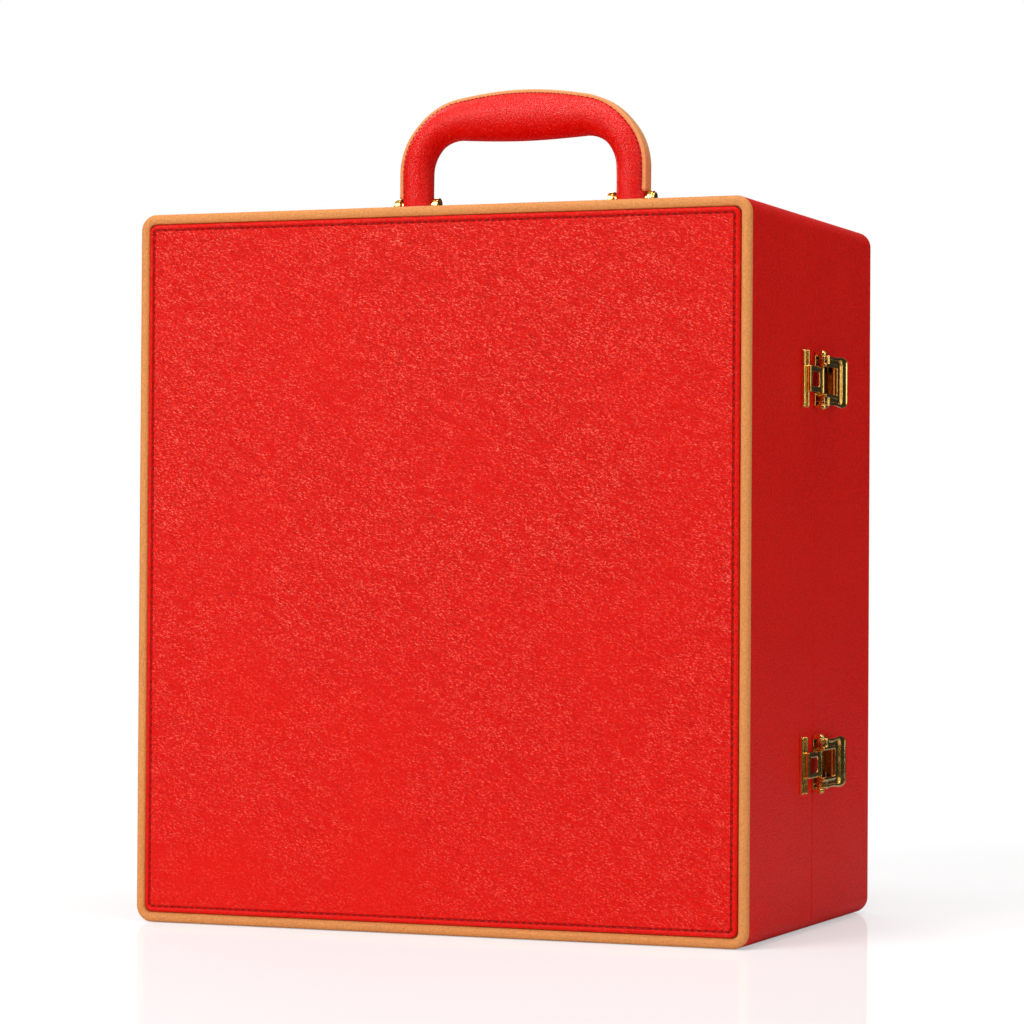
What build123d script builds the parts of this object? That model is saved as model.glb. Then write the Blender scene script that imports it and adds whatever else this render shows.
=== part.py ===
from build123d import *
import os
from math import cos, radians, sin

# Leather wine case that stands on its base and opens like a book.
# Frame: origin at the centre of the base, X to the latch side, Y to the back, Z up.
# Each half is built outwards from the seam, which is the plane Y = 0.
FRONT = -1
BACK = 1
HALVES = {FRONT: "front", BACK: "back"}

# Closed case
case_width = 318.0
case_depth = 200.0
case_height = 350.0
corner_radius = 8.0
seam_gap = 0.4
rim_round = 0.6

# Wall layers, from the outside in
leather = 1.6
board = 9.0
face_board = 6.0
lining = 1.2

# Face of each half: a tan welt round a raised stitched panel
welt_width = 5.0
welt_depth = 1.8
welt_round = 1.5
welt_inner_radius = 4.0
panel_rise = 1.0
panel_round = 1.2
panel_groove = 0.5

# Tongue that lines the halves up as they close
tongue_wall = 1.8
tongue_seat = 12.0
tongue_reach = 6.0
tongue_clearance = 0.5

# Bottle cradles, three bays to a half
bay_count = 3
bottle_radius = 40.0
bottle_clearance = 1.0
cradle_web = 2.5
cradle_depth = 32.0
cradle_height = 32.0
cradle_base = 56.0
neck_radius = 16.0
neck_rest_height = 20.0
neck_rest_base = 262.0
neck_lip = 3.0
cradle_round = 2.0

# Leather strap across the bottles of each half
strap_thickness = 2.0
strap_width = 30.0
strap_height = 165.0
strap_depth = 6.0
strap_tab_near = 34.0
strap_tab_far = 62.0
strap_bend = 6.0
strap_run_end = 31.0
stud_radius = 4.0
stud_rise = 1.6
stud_round = 1.2
stud_shank_radius = 1.3
stud_shank_length = 8.0

# Hinges on the outside of the hinge wall
hinge_edge_distance = 70.0
hinge_length = 40.0
hinge_reach = 24.0
leaf_thickness = 1.5
leaf_corner = 3.0
hinge_screw_inset = 6.7
knuckle_count = 5
knuckle_radius = 2.8
knuckle_wall_gap = 0.5
knuckle_gap = 0.3
hinge_pin_radius = 1.2
hinge_pin_head = 1.0
running_clearance = 0.05

# Countersunk screws
screw_head_radius = 2.3
screw_shank_radius = 1.15
screw_head_depth = 1.1
screw_length = 9.0
screw_slot = 0.6
small_screw_head_radius = 1.4
small_screw_shank_radius = 0.7
small_screw_head_depth = 0.6

# Handle brackets on top of the back half
handle_y = 15.0
leg_spacing = 116.9
leg_half_thickness = 8.0
ear_clearance = 1.1
ear_thickness = 2.8
ear_radius = 3.6
bracket_thickness = 1.6
bracket_half_depth = 12.0
bracket_margin = 4.0
bracket_corner = 3.0
bracket_screw_inset = 3.3
handle_pin_radius = 2.0
handle_pin_rise = 12.5
handle_pin_head_radius = 3.0
handle_pin_head = 1.0
handle_pin_chamfer = 0.3

# Handle: a steel core in a padded grip with a tan band along its back
core_thickness = 5.0
core_width = 9.0
foot_drop = 6.4
foot_half_depth = 7.2
bend_start_height = 28.3
bend_radius = 27.0
shoulder_tilt = 3.5
leg_top_half_depth = 8.2
bend_half_thickness = 8.0
bend_half_depth = 9.4
shoulder_half_thickness = 10.2
shoulder_half_depth = 10.6
grip_half_thickness = 12.5
grip_half_depth = 12.0
bend_middle_share = 0.5
crown_flat_share = 0.2
grip_stations = 24
band_thickness = 1.0
band_glue_line = 0.15
band_width = 8.5
band_end_rise = 15.8

# Draw latches on the latch wall, measured from the wall and from the seam
latch_edge_distance = 81.2
latch_half_height = 13.8
latch_end = 33.5
base_plate = 0.7
base_start = 0.3
base_end = 31.0
base_half_height = 12.4
base_window_end = 12.0
base_window_half = 5.6
lever_pivot_out = 3.7
lever_pivot_back = 2.3
lever_pin_radius = 0.8
lever_pin_head = 0.5
lever_pin_head_radius = 1.3
link_offset = 3.0
link_offset_angle = 20.0
link_pin_radius = 0.7
link_eye_radius = 1.2
latch_ear_thickness = 1.6
latch_ear_radius = 2.0
cheek_thickness = 1.5
cheek_radius = 1.9
latch_clearance = 0.3
lever_start = 0.6
lever_wing_start = 6.8
lever_under = 4.25
lever_plate = 1.0
lever_half_height = 12.6
lever_border = 0.7
lever_border_width = 1.6
lever_nose_width = 4.6
lever_round = 0.6
lever_lip_rise = 1.5
lever_lip_edge = 0.9
lever_lip_round = 0.4
lever_rim = 0.85
lever_rim_width = 1.5
lever_corner = 4.5
lever_waist_share = 0.4
lever_waist_depth = 0.6
lever_shoulder_depth = 0.2
lever_shoulder_slope = -0.1
lever_skirt = 0.9
lever_skirt_drop = 2.8
slot_end = 19.5
slot_half_height = 6.7
link_half_height = 6.3
link_plate = 1.0
link_low_under = 2.2
link_high_under = 3.0
link_step_start = -0.5
link_step_end = 0.8
link_window_half = 3.6
link_window_start = -15.0
link_window_end = -3.2
link_window_corner = 1.0
claw_face = -17.0
claw_thickness = 1.0
claw_tip_out = 1.2
claw_round = 0.6
keeper_start = -21.5
keeper_lip_gap = 0.5
keeper_lip = 1.0
keeper_bead_radius = 0.8
keeper_top = 2.6
keeper_edge_width = 1.2
keeper_edge_top = 1.9
keeper_screw_offset = 10.5

# Sizes worked out from the ones above
half_width = case_width / 2
half_depth = case_depth / 2
mid_height = case_height / 2
rim = seam_gap / 2
face_back = half_depth - welt_depth
board_out = half_width - leather
board_in = board_out - board
lining_in = board_in - lining
board_in_height = case_height - 2 * (leather + board)
lining_in_height = board_in_height - 2 * lining
face_board_back = face_back - face_board
cavity_back = face_board_back - lining
bottle_axis = cavity_back - cradle_web - bottle_clearance - bottle_radius
bay_pitch = 2 * lining_in / bay_count
hinge_axis_x = -(half_width + knuckle_wall_gap + knuckle_radius)
handle_base = case_height + bracket_thickness
pin_height = case_height + handle_pin_rise
link_pivot_out = lever_pivot_out - link_offset * sin(radians(link_offset_angle))
link_pivot_back = lever_pivot_back + link_offset * cos(radians(link_offset_angle))
HINGE_HEIGHTS = {
    "upper": case_height - hinge_edge_distance,
    "lower": hinge_edge_distance,
}
LATCH_HEIGHTS = {
    "upper": case_height - latch_edge_distance,
    "lower": latch_edge_distance,
}
BRACKET_SIDES = {"left": -1, "right": 1}

os.makedirs("parts", exist_ok=True)


def save(part, name):
    """Label a finished piece and write it."""
    part.label = name
    export_step(part, f"parts/{name}.step")
    return part


def outward(side, depth):
    """Plane parallel to the seam, depth from it, facing out of one half."""
    return Plane(origin=(0, side * depth, 0), x_dir=(-side, 0, 0), z_dir=(0, side, 0))


def latch_wall(height, out=0.0):
    """Plane on the latch wall, its x to the back and its y up."""
    return Plane(origin=(half_width + out, 0, height), x_dir=(0, 1, 0), z_dir=(1, 0, 0))


def latch_section(height):
    """Plane across a latch, its x to the back and its y out of the wall."""
    return Plane(origin=(half_width, 0, height), x_dir=(0, 1, 0), z_dir=(0, 0, -1))


def frame_profile(plane, width, height, radius, inner_width, inner_height, inner_radius):
    """Rounded frame about the middle of the case."""
    with BuildSketch(plane) as profile:
        with Locations((0, mid_height)):
            if radius > 0:
                RectangleRounded(width, height, radius)
            else:
                Rectangle(width, height)
            if inner_radius > 0:
                RectangleRounded(inner_width, inner_height, inner_radius, mode=Mode.SUBTRACT)
            else:
                Rectangle(inner_width, inner_height, mode=Mode.SUBTRACT)
    return profile.sketch


def outline_edges(part, side):
    """Outer edges of the last face of a piece towards the front or the back."""
    face = part.faces().filter_by(Axis.Y).sort_by(Axis.Y)[-1 if side > 0 else 0]
    return face.outer_wire().edges()


# Fasteners


def screw(head_radius, head_depth, shank_radius, length):
    """Countersunk slotted screw along Z, its flush head at Z = 0."""
    with BuildPart() as fastener:
        with BuildSketch():
            Circle(shank_radius)
        extrude(amount=-length)
        with BuildSketch():
            Circle(head_radius)
        extrude(amount=-head_depth, taper=45)
        with BuildSketch():
            Rectangle(2 * head_radius, screw_slot)
        extrude(amount=-head_depth / 2, mode=Mode.SUBTRACT)
    return fastener.part


def domed_stud():
    """Domed stud along Z, the underside of its head at Z = 0."""
    with BuildPart() as fastener:
        with BuildSketch():
            Circle(stud_radius)
        extrude(amount=stud_rise)
        fillet(fastener.edges().group_by(Axis.Z)[-1], stud_round)
        with BuildSketch():
            Circle(stud_shank_radius)
        extrude(amount=-stud_shank_length)
    return fastener.part


def place(shape, planes):
    """One copy of a shape at each plane."""
    return [shape.moved(plane.location) for plane in planes]


def save_group(shapes, name):
    """Write several separate solids as one piece."""
    return save(Compound(children=shapes), name)


def cut(shapes):
    """Take the given solids out of the piece that is being built."""
    for shape in shapes:
        add(shape, mode=Mode.SUBTRACT)


wood_screw = screw(screw_head_radius, screw_head_depth, screw_shank_radius, screw_length)
small_screw = screw(
    small_screw_head_radius, small_screw_head_depth, small_screw_shank_radius, screw_length
)
stud = domed_stud()

hinge_screws = {}
latch_screws = {}
strap_studs = {}
for side in HALVES:
    spots = [
        (
            height + along * (hinge_length / 2 - hinge_screw_inset),
            side * (hinge_reach - rows * hinge_screw_inset),
        )
        for height in HINGE_HEIGHTS.values()
        for along, rows in ((-1, 1), (1, 1), (0, 2))
    ]
    hinge_screws[side] = place(
        wood_screw,
        [
            Plane(origin=(-half_width - leaf_thickness, y, z), z_dir=(-1, 0, 0))
            for z, y in spots
        ],
    )
    strap_studs[side] = place(
        stud,
        [
            Plane(
                origin=(
                    end * (lining_in - strap_thickness),
                    side * (strap_tab_near + strap_tab_far) / 2,
                    strap_height,
                ),
                z_dir=(-end, 0, 0),
            )
            for end in (-1, 1)
        ],
    )
latch_screws[BACK] = place(
    small_screw,
    [
        Plane(
            origin=(half_width + base_plate, (base_window_end + base_end) / 2, height + offset),
            z_dir=(1, 0, 0),
        )
        for height in LATCH_HEIGHTS.values()
        for offset in (-slot_half_height, slot_half_height)
    ],
)
latch_screws[FRONT] = place(
    small_screw,
    [
        Plane(
            origin=(
                half_width + base_plate,
                (keeper_start + keeper_edge_width + claw_face + keeper_lip_gap) / 2,
                height + offset,
            ),
            z_dir=(1, 0, 0),
        )
        for height in LATCH_HEIGHTS.values()
        for offset in (-keeper_screw_offset, keeper_screw_offset)
    ],
)
bracket_half_width = leg_half_thickness + ear_clearance + ear_thickness + bracket_margin
bracket_screws = place(
    wood_screw,
    [
        Plane(
            origin=(
                end * leg_spacing / 2 + x * (leg_half_thickness - screw_head_radius),
                handle_y + y * (bracket_half_depth - bracket_screw_inset),
                handle_base,
            )
        )
        for end in BRACKET_SIDES.values()
        for x in (-1, 1)
        for y in (-1, 1)
    ],
)
save_group(hinge_screws[FRONT], "hinge_lid_screws")
save_group(hinge_screws[BACK], "hinge_case_screws")
save_group(latch_screws[FRONT], "latch_keeper_screws")
save_group(latch_screws[BACK], "latch_base_screws")
save_group(bracket_screws, "handle_bracket_screws")

# Boards of the two halves


def cross_board(side, top):
    """Top or bottom board, its outer corners rounded under the leather."""
    centre = case_height - leather - board / 2 if top else leather + board / 2
    with BuildPart() as wall:
        with BuildSketch(outward(side, rim + leather)) as profile:
            with Locations((0, centre)):
                Rectangle(2 * board_out, board)
            outer = profile.vertices().group_by(Axis.Y)[-1 if top else 0]
            fillet(outer, corner_radius - leather)
        extrude(amount=face_back - rim - leather)
        if top and side == BACK:
            cut(bracket_screws)
    return wall.part


def upright_board(side, end):
    """Board of the hinge wall, end -1, or of the latch wall, end 1."""
    with BuildPart() as wall:
        with BuildSketch(outward(side, rim + leather)):
            with Locations((-side * end * (board_out - board / 2), mid_height)):
                Rectangle(board, board_in_height)
        extrude(amount=face_back - rim - leather)
        cut(strap_studs[side])
        cut(hinge_screws[side] if end < 0 else latch_screws[side])
    return wall.part


def face_panel_board(side):
    """Board behind the face of a half, set between the four wall boards."""
    with BuildPart() as wall:
        with BuildSketch(outward(side, face_board_back)):
            with Locations((0, mid_height)):
                Rectangle(2 * board_in, board_in_height)
        extrude(amount=face_board)
    return wall.part


# Leather outside and lining inside


def side_leather(side):
    """Leather round the four walls, turned in over the rim at the seam."""
    width, height = case_width, case_height
    with BuildPart() as skin:
        wrap = frame_profile(
            outward(side, rim),
            width,
            height,
            corner_radius,
            width - 2 * leather,
            height - 2 * leather,
            corner_radius - leather,
        )
        extrude(wrap, amount=face_back - rim)
        turn_in = frame_profile(
            outward(side, rim), width, height, corner_radius, 2 * board_in, board_in_height, 0
        )
        extrude(turn_in, amount=leather)
        fillet(outline_edges(skin.part, -side), rim_round)
        cut(hinge_screws[side])
        cut(latch_screws[side])
        if side == BACK:
            cut(bracket_screws)
    return skin.part


def welt(side):
    """Tan welt that frames the face, with a rounded outer edge."""
    with BuildPart() as trim:
        ring = frame_profile(
            outward(side, face_back),
            case_width,
            case_height,
            corner_radius,
            case_width - 2 * welt_width,
            case_height - 2 * welt_width,
            welt_inner_radius,
        )
        extrude(ring, amount=welt_depth)
        fillet(outline_edges(trim.part, side), welt_round)
    return trim.part


def face_panel(side):
    """Raised leather panel inside the welt, its edge rounded over."""
    inset = welt_width + panel_groove
    with BuildPart() as panel:
        with BuildSketch(outward(side, face_back)):
            with Locations((0, mid_height)):
                RectangleRounded(
                    case_width - 2 * inset,
                    case_height - 2 * inset,
                    welt_inner_radius - panel_groove,
                )
        extrude(amount=welt_depth + panel_rise)
        fillet(outline_edges(panel.part, side), panel_round)
    return panel.part


def inner_lining(side):
    """Lining of the walls and face, open at the seam."""
    with BuildPart() as tray:
        with BuildSketch(outward(side, rim)):
            with Locations((0, mid_height)):
                Rectangle(2 * board_in, board_in_height)
        extrude(amount=face_board_back - rim)
        with BuildSketch(outward(side, rim)):
            with Locations((0, mid_height)):
                Rectangle(2 * lining_in, lining_in_height)
        extrude(amount=cavity_back - rim, mode=Mode.SUBTRACT)
        cut(strap_studs[side])
    return tray.part


def bay_rest(side, base, height, depth, radius):
    """Rail across a half with one round notch for each bottle bay."""
    front = cavity_back - depth
    with BuildPart() as rail:
        with BuildSketch(Plane.XY.offset(base)):
            with Locations((0, side * (front + depth / 2))):
                Rectangle(2 * lining_in, depth)
            with Locations((0, side * bottle_axis)):
                with GridLocations(bay_pitch, 0, bay_count, 1):
                    Circle(radius, mode=Mode.SUBTRACT)
            if front < bottle_axis:
                with Locations((0, side * (bottle_axis - radius))):
                    with GridLocations(bay_pitch, 0, bay_count, 1):
                        Rectangle(2 * radius, 2 * radius, mode=Mode.SUBTRACT)
        extrude(amount=height)
        seam_edges = rail.edges().filter_by(Axis.X).group_by(Axis.Y)[0 if side > 0 else -1]
        fillet(seam_edges, cradle_round)
    return rail.part


def strap(side):
    """Leather strap fixed to both walls, led out in front of the bottles."""
    wall = lining_in - strap_thickness / 2
    run_end = lining_in - strap_run_end
    right = [
        (wall, side * strap_tab_far),
        (wall, side * strap_tab_near),
        (run_end, side * strap_depth),
    ]
    left = [(-x, y) for x, y in reversed(right)]
    with BuildPart() as band:
        with BuildLine(Plane.XY.offset(strap_height)) as path:
            FilletPolyline(*right, *left, radius=strap_bend)
        with BuildSketch(Plane(path.line @ 0, x_dir=(1, 0, 0), z_dir=path.line % 0)):
            Rectangle(strap_thickness, strap_width)
        sweep(path=path.line)
        cut(strap_studs[side])
    return band.part


for side, name in HALVES.items():
    save(cross_board(side, top=True), f"{name}_top_board")
    save(cross_board(side, top=False), f"{name}_bottom_board")
    save(upright_board(side, -1), f"{name}_hinge_board")
    save(upright_board(side, 1), f"{name}_latch_board")
    save(face_panel_board(side), f"{name}_face_board")
    save(side_leather(side), f"{name}_side_leather")
    save(welt(side), f"{name}_welt")
    save(face_panel(side), f"{name}_panel")
    save(inner_lining(side), f"{name}_lining")
    cradle = bay_rest(
        side, cradle_base, cradle_height, cradle_depth, bottle_radius + bottle_clearance
    )
    save(cradle, f"{name}_bottle_cradle")
    neck_depth = cavity_back - bottle_axis + neck_lip
    rest = bay_rest(
        side, neck_rest_base, neck_rest_height, neck_depth, neck_radius + bottle_clearance
    )
    save(rest, f"{name}_neck_rest")
    save(strap(side), f"{name}_strap")
    save_group(strap_studs[side], f"{name}_strap_studs")


# Tongue fixed in the back half, reaching into the front half
with BuildPart() as tongue:
    slim = lining_in - tongue_clearance
    slim_height = lining_in_height - 2 * tongue_clearance
    inner = 2 * (slim - tongue_wall)
    inner_height = slim_height - 2 * tongue_wall
    with BuildSketch(outward(BACK, rim)):
        with Locations((0, mid_height)):
            Rectangle(2 * lining_in, lining_in_height)
            Rectangle(inner, inner_height, mode=Mode.SUBTRACT)
    extrude(amount=tongue_seat)
    with BuildSketch(outward(BACK, rim)):
        with Locations((0, mid_height)):
            Rectangle(2 * slim, slim_height)
            Rectangle(inner, inner_height, mode=Mode.SUBTRACT)
    extrude(amount=-tongue_reach - rim)
save(tongue.part, "alignment_tongue")


# Hinges


def knuckle_span(index):
    """Lowest and highest point of one knuckle, from the middle of its hinge."""
    pitch = hinge_length / knuckle_count
    low = -hinge_length / 2 + index * pitch
    return low + knuckle_gap / 2, low + pitch - knuckle_gap / 2


def hinge_leaf(side, height):
    """Leaf screwed to one half; the back leaf has the odd knuckles."""
    bore = hinge_pin_radius + (running_clearance if side == FRONT else 0)
    own = range(1 if side == FRONT else 0, knuckle_count, 2)
    others = range(0 if side == FRONT else 1, knuckle_count, 2)
    swing = knuckle_radius + knuckle_gap
    wall = Plane(origin=(-half_width, 0, height), x_dir=(0, side, 0), z_dir=(-1, 0, 0))
    with BuildPart() as leaf:
        with BuildSketch(wall) as outline:
            with Locations((hinge_reach / 2, 0)):
                Rectangle(hinge_reach, hinge_length)
            far = outline.vertices().group_by(Axis.X)[-1]
            fillet(far, leaf_corner)
            for index in others:
                low, high = knuckle_span(index)
                with Locations((0, (low + high) / 2)):
                    clearing = high - low + 2 * knuckle_gap
                    Rectangle(2 * swing, clearing, mode=Mode.SUBTRACT)
        extrude(amount=leaf_thickness)
        for index in own:
            low, high = knuckle_span(index)
            with BuildSketch(Plane(origin=(hinge_axis_x, 0, height + low))):
                Circle(knuckle_radius)
                with Locations((knuckle_radius / 2, side * knuckle_radius / 2)):
                    Rectangle(knuckle_radius, knuckle_radius)
            extrude(amount=high - low)
        with BuildSketch(Plane(origin=(hinge_axis_x, 0, height - hinge_length / 2))):
            Circle(bore)
        extrude(amount=hinge_length, mode=Mode.SUBTRACT)
        cut(hinge_screws[side])
    return leaf.part


def hinge_pin(height):
    """Pin through all the knuckles, with a button at each end."""
    reach = hinge_length / 2
    with BuildPart() as pin:
        with BuildSketch(Plane(origin=(hinge_axis_x, 0, height - reach))):
            Circle(hinge_pin_radius)
        extrude(amount=hinge_length)
        for end, base in ((1, reach), (-1, -reach - hinge_pin_head)):
            with BuildSketch(Plane(origin=(hinge_axis_x, 0, height + base))):
                Circle(knuckle_radius - 2 * knuckle_gap)
            extrude(amount=hinge_pin_head)
    return pin.part


for place_name, height in HINGE_HEIGHTS.items():
    save(hinge_leaf(FRONT, height), f"{place_name}_hinge_lid_leaf")
    save(hinge_leaf(BACK, height), f"{place_name}_hinge_case_leaf")
    save(hinge_pin(height), f"{place_name}_hinge_pin")


# Handle brackets, pins and handle


def handle_bracket(end):
    """Base plate with two upright ears, one each side of a handle leg."""
    centre = end * leg_spacing / 2
    inner_face = leg_half_thickness + ear_clearance
    with BuildPart() as bracket:
        with BuildSketch(Plane.XY.offset(case_height)):
            with Locations((centre, handle_y)):
                RectangleRounded(2 * bracket_half_width, 2 * bracket_half_depth, bracket_corner)
        extrude(amount=bracket_thickness)
        for ear in (-1, 1):
            face = centre + ear * inner_face
            with BuildSketch(
                Plane(origin=(face, handle_y, 0), x_dir=(0, ear, 0), z_dir=(ear, 0, 0))
            ):
                with Locations((0, pin_height)):
                    Circle(ear_radius)
                with Locations((0, (case_height + pin_height) / 2)):
                    Rectangle(2 * ear_radius, handle_pin_rise)
                with Locations((0, pin_height)):
                    Circle(handle_pin_radius, mode=Mode.SUBTRACT)
            extrude(amount=ear_thickness)
        cut(bracket_screws)
    return bracket.part


def handle_pin(end):
    """Pin through both ears of a bracket, headed on the outside."""
    reach = leg_half_thickness + ear_clearance + ear_thickness
    centre = end * leg_spacing / 2
    across = Plane(origin=(centre, handle_y, pin_height), z_dir=(end, 0, 0))
    with BuildPart() as pin:
        with BuildSketch(across):
            Circle(handle_pin_radius)
        extrude(amount=reach, both=True)
        with BuildSketch(across.offset(reach)):
            Circle(handle_pin_head_radius)
        extrude(amount=handle_pin_head)
        head_rim = pin.edges().group_by(Axis.X)[-1 if end > 0 else 0]
        chamfer(head_rim, handle_pin_chamfer)
    return pin.part


for place_name, end in BRACKET_SIDES.items():
    save(handle_bracket(end), f"{place_name}_handle_bracket")
    save(handle_pin(end), f"{place_name}_handle_pin")

leg_x = leg_spacing / 2
foot_height = pin_height - foot_drop
bend_start = case_height + bend_start_height
shoulder_x = leg_x - bend_radius * (1 - sin(radians(shoulder_tilt)))
top_radius = shoulder_x / sin(radians(shoulder_tilt))


def draw_handle(start_height):
    """Draw the middle line of the handle, from the left foot to the right foot."""
    rise = Line((-leg_x, start_height), (-leg_x, bend_start))
    bend = JernArc(rise @ 1, (0, 1), bend_radius, shoulder_tilt - 90)
    crown = JernArc(bend @ 1, bend % 1, top_radius, -2 * shoulder_tilt)
    fall = JernArc(crown @ 1, crown % 1, bend_radius, shoulder_tilt - 90)
    Line(fall @ 1, (leg_x, start_height))


def handle_path(start_height):
    """Middle line of the handle where it stands."""
    with BuildLine(Plane.XZ.offset(-handle_y)) as path:
        draw_handle(start_height)
    return path.line


leg_length = bend_start - foot_height
bend_length = bend_radius * radians(90 - shoulder_tilt)
crown_length = top_radius * radians(shoulder_tilt)
handle_half_length = leg_length + bend_length + crown_length
grip_sizes = [
    (0, (leg_half_thickness, foot_half_depth)),
    (leg_length, (leg_half_thickness, leg_top_half_depth)),
    (leg_length + bend_length * bend_middle_share, (bend_half_thickness, bend_half_depth)),
    (leg_length + bend_length, (shoulder_half_thickness, shoulder_half_depth)),
    (handle_half_length - crown_length * crown_flat_share, (grip_half_thickness, grip_half_depth)),
    (handle_half_length, (grip_half_thickness, grip_half_depth)),
]


def grip_section(distance):
    """Half thickness and half depth of the grip, eased between the sizes along it."""
    for (start, low), (end, high) in zip(grip_sizes, grip_sizes[1:]):
        if distance <= end:
            share = (distance - start) / (end - start)
            eased = share * share * (3 - 2 * share)
            return [a + (b - a) * eased for a, b in zip(low, high)]
    return grip_sizes[-1][1]


def handle_form(extra):
    """Padded form of the grip, swollen by extra; each end is a flat foot."""
    path = handle_path(foot_height)
    with BuildPart() as form:
        for index in range(grip_stations + 1):
            share = index / grip_stations
            distance = 2 * handle_half_length * min(share, 1 - share)
            thickness, depth = grip_section(distance)
            spot = Plane(path @ share, x_dir=(0, 1, 0), z_dir=path % share)
            with BuildSketch(spot):
                Ellipse(depth + extra, thickness + extra)
        loft()
    return form.part


def pin_bores(clearance):
    """Space that the two handle pins need, with a running clearance."""
    reach = leg_half_thickness + ear_clearance
    with BuildPart() as bores:
        for end in BRACKET_SIDES.values():
            with BuildSketch(Plane(origin=(end * leg_x, handle_y, pin_height), z_dir=(1, 0, 0))):
                Circle(handle_pin_radius + clearance)
            extrude(amount=reach, both=True)
    return bores.part


bores = pin_bores(running_clearance)
with BuildPart() as core:
    core_path = handle_path(pin_height - core_width / 2)
    with BuildSketch(Plane(core_path @ 0, x_dir=(0, 1, 0), z_dir=core_path % 0)):
        Rectangle(core_width, core_thickness)
    sweep(path=core_path)
    add(bores, mode=Mode.SUBTRACT)
save(core.part, "handle_core")

padded_form = handle_form(0)
with BuildPart() as grip:
    add(padded_form)
    with BuildSketch(Plane(core_path @ 0, x_dir=(0, 1, 0), z_dir=core_path % 0)):
        Rectangle(core_width, core_thickness)
    sweep(path=core_path, mode=Mode.SUBTRACT)
    add(bores, mode=Mode.SUBTRACT)
save(grip.part, "handle_grip")

with BuildPart() as band:
    add(handle_form(band_thickness))
    add(handle_form(band_glue_line), mode=Mode.SUBTRACT)
    band_foot = case_height + band_end_rise
    with BuildSketch(Plane.XZ.offset(-handle_y)) as keep:
        with Locations((0, band_foot + case_height / 2)):
            Rectangle(case_width, case_height)
        with BuildLine():
            draw_handle(foot_height)
            Line((leg_x, foot_height), (-leg_x, foot_height))
        make_face(mode=Mode.SUBTRACT)
    extrude(amount=band_width / 2, both=True, mode=Mode.INTERSECT)
save(band.part, "handle_band")


# Draw latches


def mirrored_slab(height, low, high, sketch):
    """Two slabs of one section sketch, above and below the middle of a latch."""
    with BuildPart() as slabs:
        for up in (-1, 1):
            base = sketch.moved(Location((0, 0, up * low)))
            extrude(base, amount=high - low, dir=(0, 0, up))
    return slabs.part


def pivot_circles(height, pivot_radius, link_radius):
    """Sketch round the two pivots of a lever."""
    with BuildSketch(latch_section(height)) as pivots:
        if pivot_radius > 0:
            with Locations((lever_pivot_back, lever_pivot_out)):
                Circle(pivot_radius)
        if link_radius > 0:
            with Locations((link_pivot_back, link_pivot_out)):
                Circle(link_radius)
    return pivots.sketch


def latch_base(height):
    """Base plate with a window and two ears that carry the lever."""
    ear_start = latch_half_height - latch_ear_thickness
    with BuildPart() as base:
        with BuildSketch(latch_wall(height)):
            with Locations(((base_start + base_end) / 2, 0)):
                Rectangle(base_end - base_start, 2 * base_half_height)
            with Locations(((base_start + lever_wing_start) / 2, 0)):
                Rectangle(lever_wing_start - base_start, 2 * latch_half_height)
            with Locations((base_window_end / 2, 0)):
                Rectangle(base_window_end, 2 * base_window_half, mode=Mode.SUBTRACT)
        extrude(amount=base_plate)
        with BuildSketch(latch_section(height)) as ear:
            with Locations((lever_pivot_back, lever_pivot_out)):
                Circle(latch_ear_radius)
            with Locations((lever_pivot_back, lever_pivot_out / 2)):
                Rectangle(2 * latch_ear_radius, lever_pivot_out)
            with Locations((lever_pivot_back, lever_pivot_out)):
                Circle(lever_pin_radius, mode=Mode.SUBTRACT)
        add(mirrored_slab(height, ear_start, latch_half_height, ear.sketch))
        cut(latch_screws[BACK])
    return base.part


def lever_outline(height, out, inset, nose_inset):
    """Outline of the lever plate, drawn in by inset and at its nose by nose_inset."""
    half = lever_half_height - inset
    far = latch_end - nose_inset
    start = lever_wing_start + inset
    corner = lever_corner - inset
    waist = start + (far - start) * lever_waist_share
    with BuildSketch(latch_wall(height, out)) as outline:
        with BuildLine():
            top = Spline(
                (start, half - lever_shoulder_depth),
                (waist, half - lever_waist_depth),
                (far - corner, half),
                tangents=((1, lever_shoulder_slope), (1, 0)),
            )
            nose = JernArc(top @ 1, (1, 0), corner, -90)
            Line(nose @ 1, (far, 0))
            Line((start, 0), top @ 0)
            mirror(about=Plane.XZ)
        make_face()
    return outline.sketch


def lever_lip(height, top):
    """Finger lip that curls outward at the lever's nose."""
    start = latch_end - lever_nose_width
    tip = latch_end - lever_lip_edge
    with BuildPart() as lip:
        with BuildSketch(latch_section(height)):
            with BuildLine():
                curl = TangentArc((start, top), (tip, top + lever_lip_rise), tangent=(1, 0))
                Polyline(curl @ 1, (latch_end, top + lever_lip_rise), (latch_end, top), curl @ 0)
            make_face()
        extrude(amount=lever_half_height, both=True)
        extrude(
            lever_outline(height, top, 0, 0), amount=2 * lever_lip_rise, mode=Mode.INTERSECT
        )
        crest = lip.faces().sort_by(Axis.X)[-1]
        fillet(crest.edges(), lever_lip_round)
    return lip.part


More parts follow.
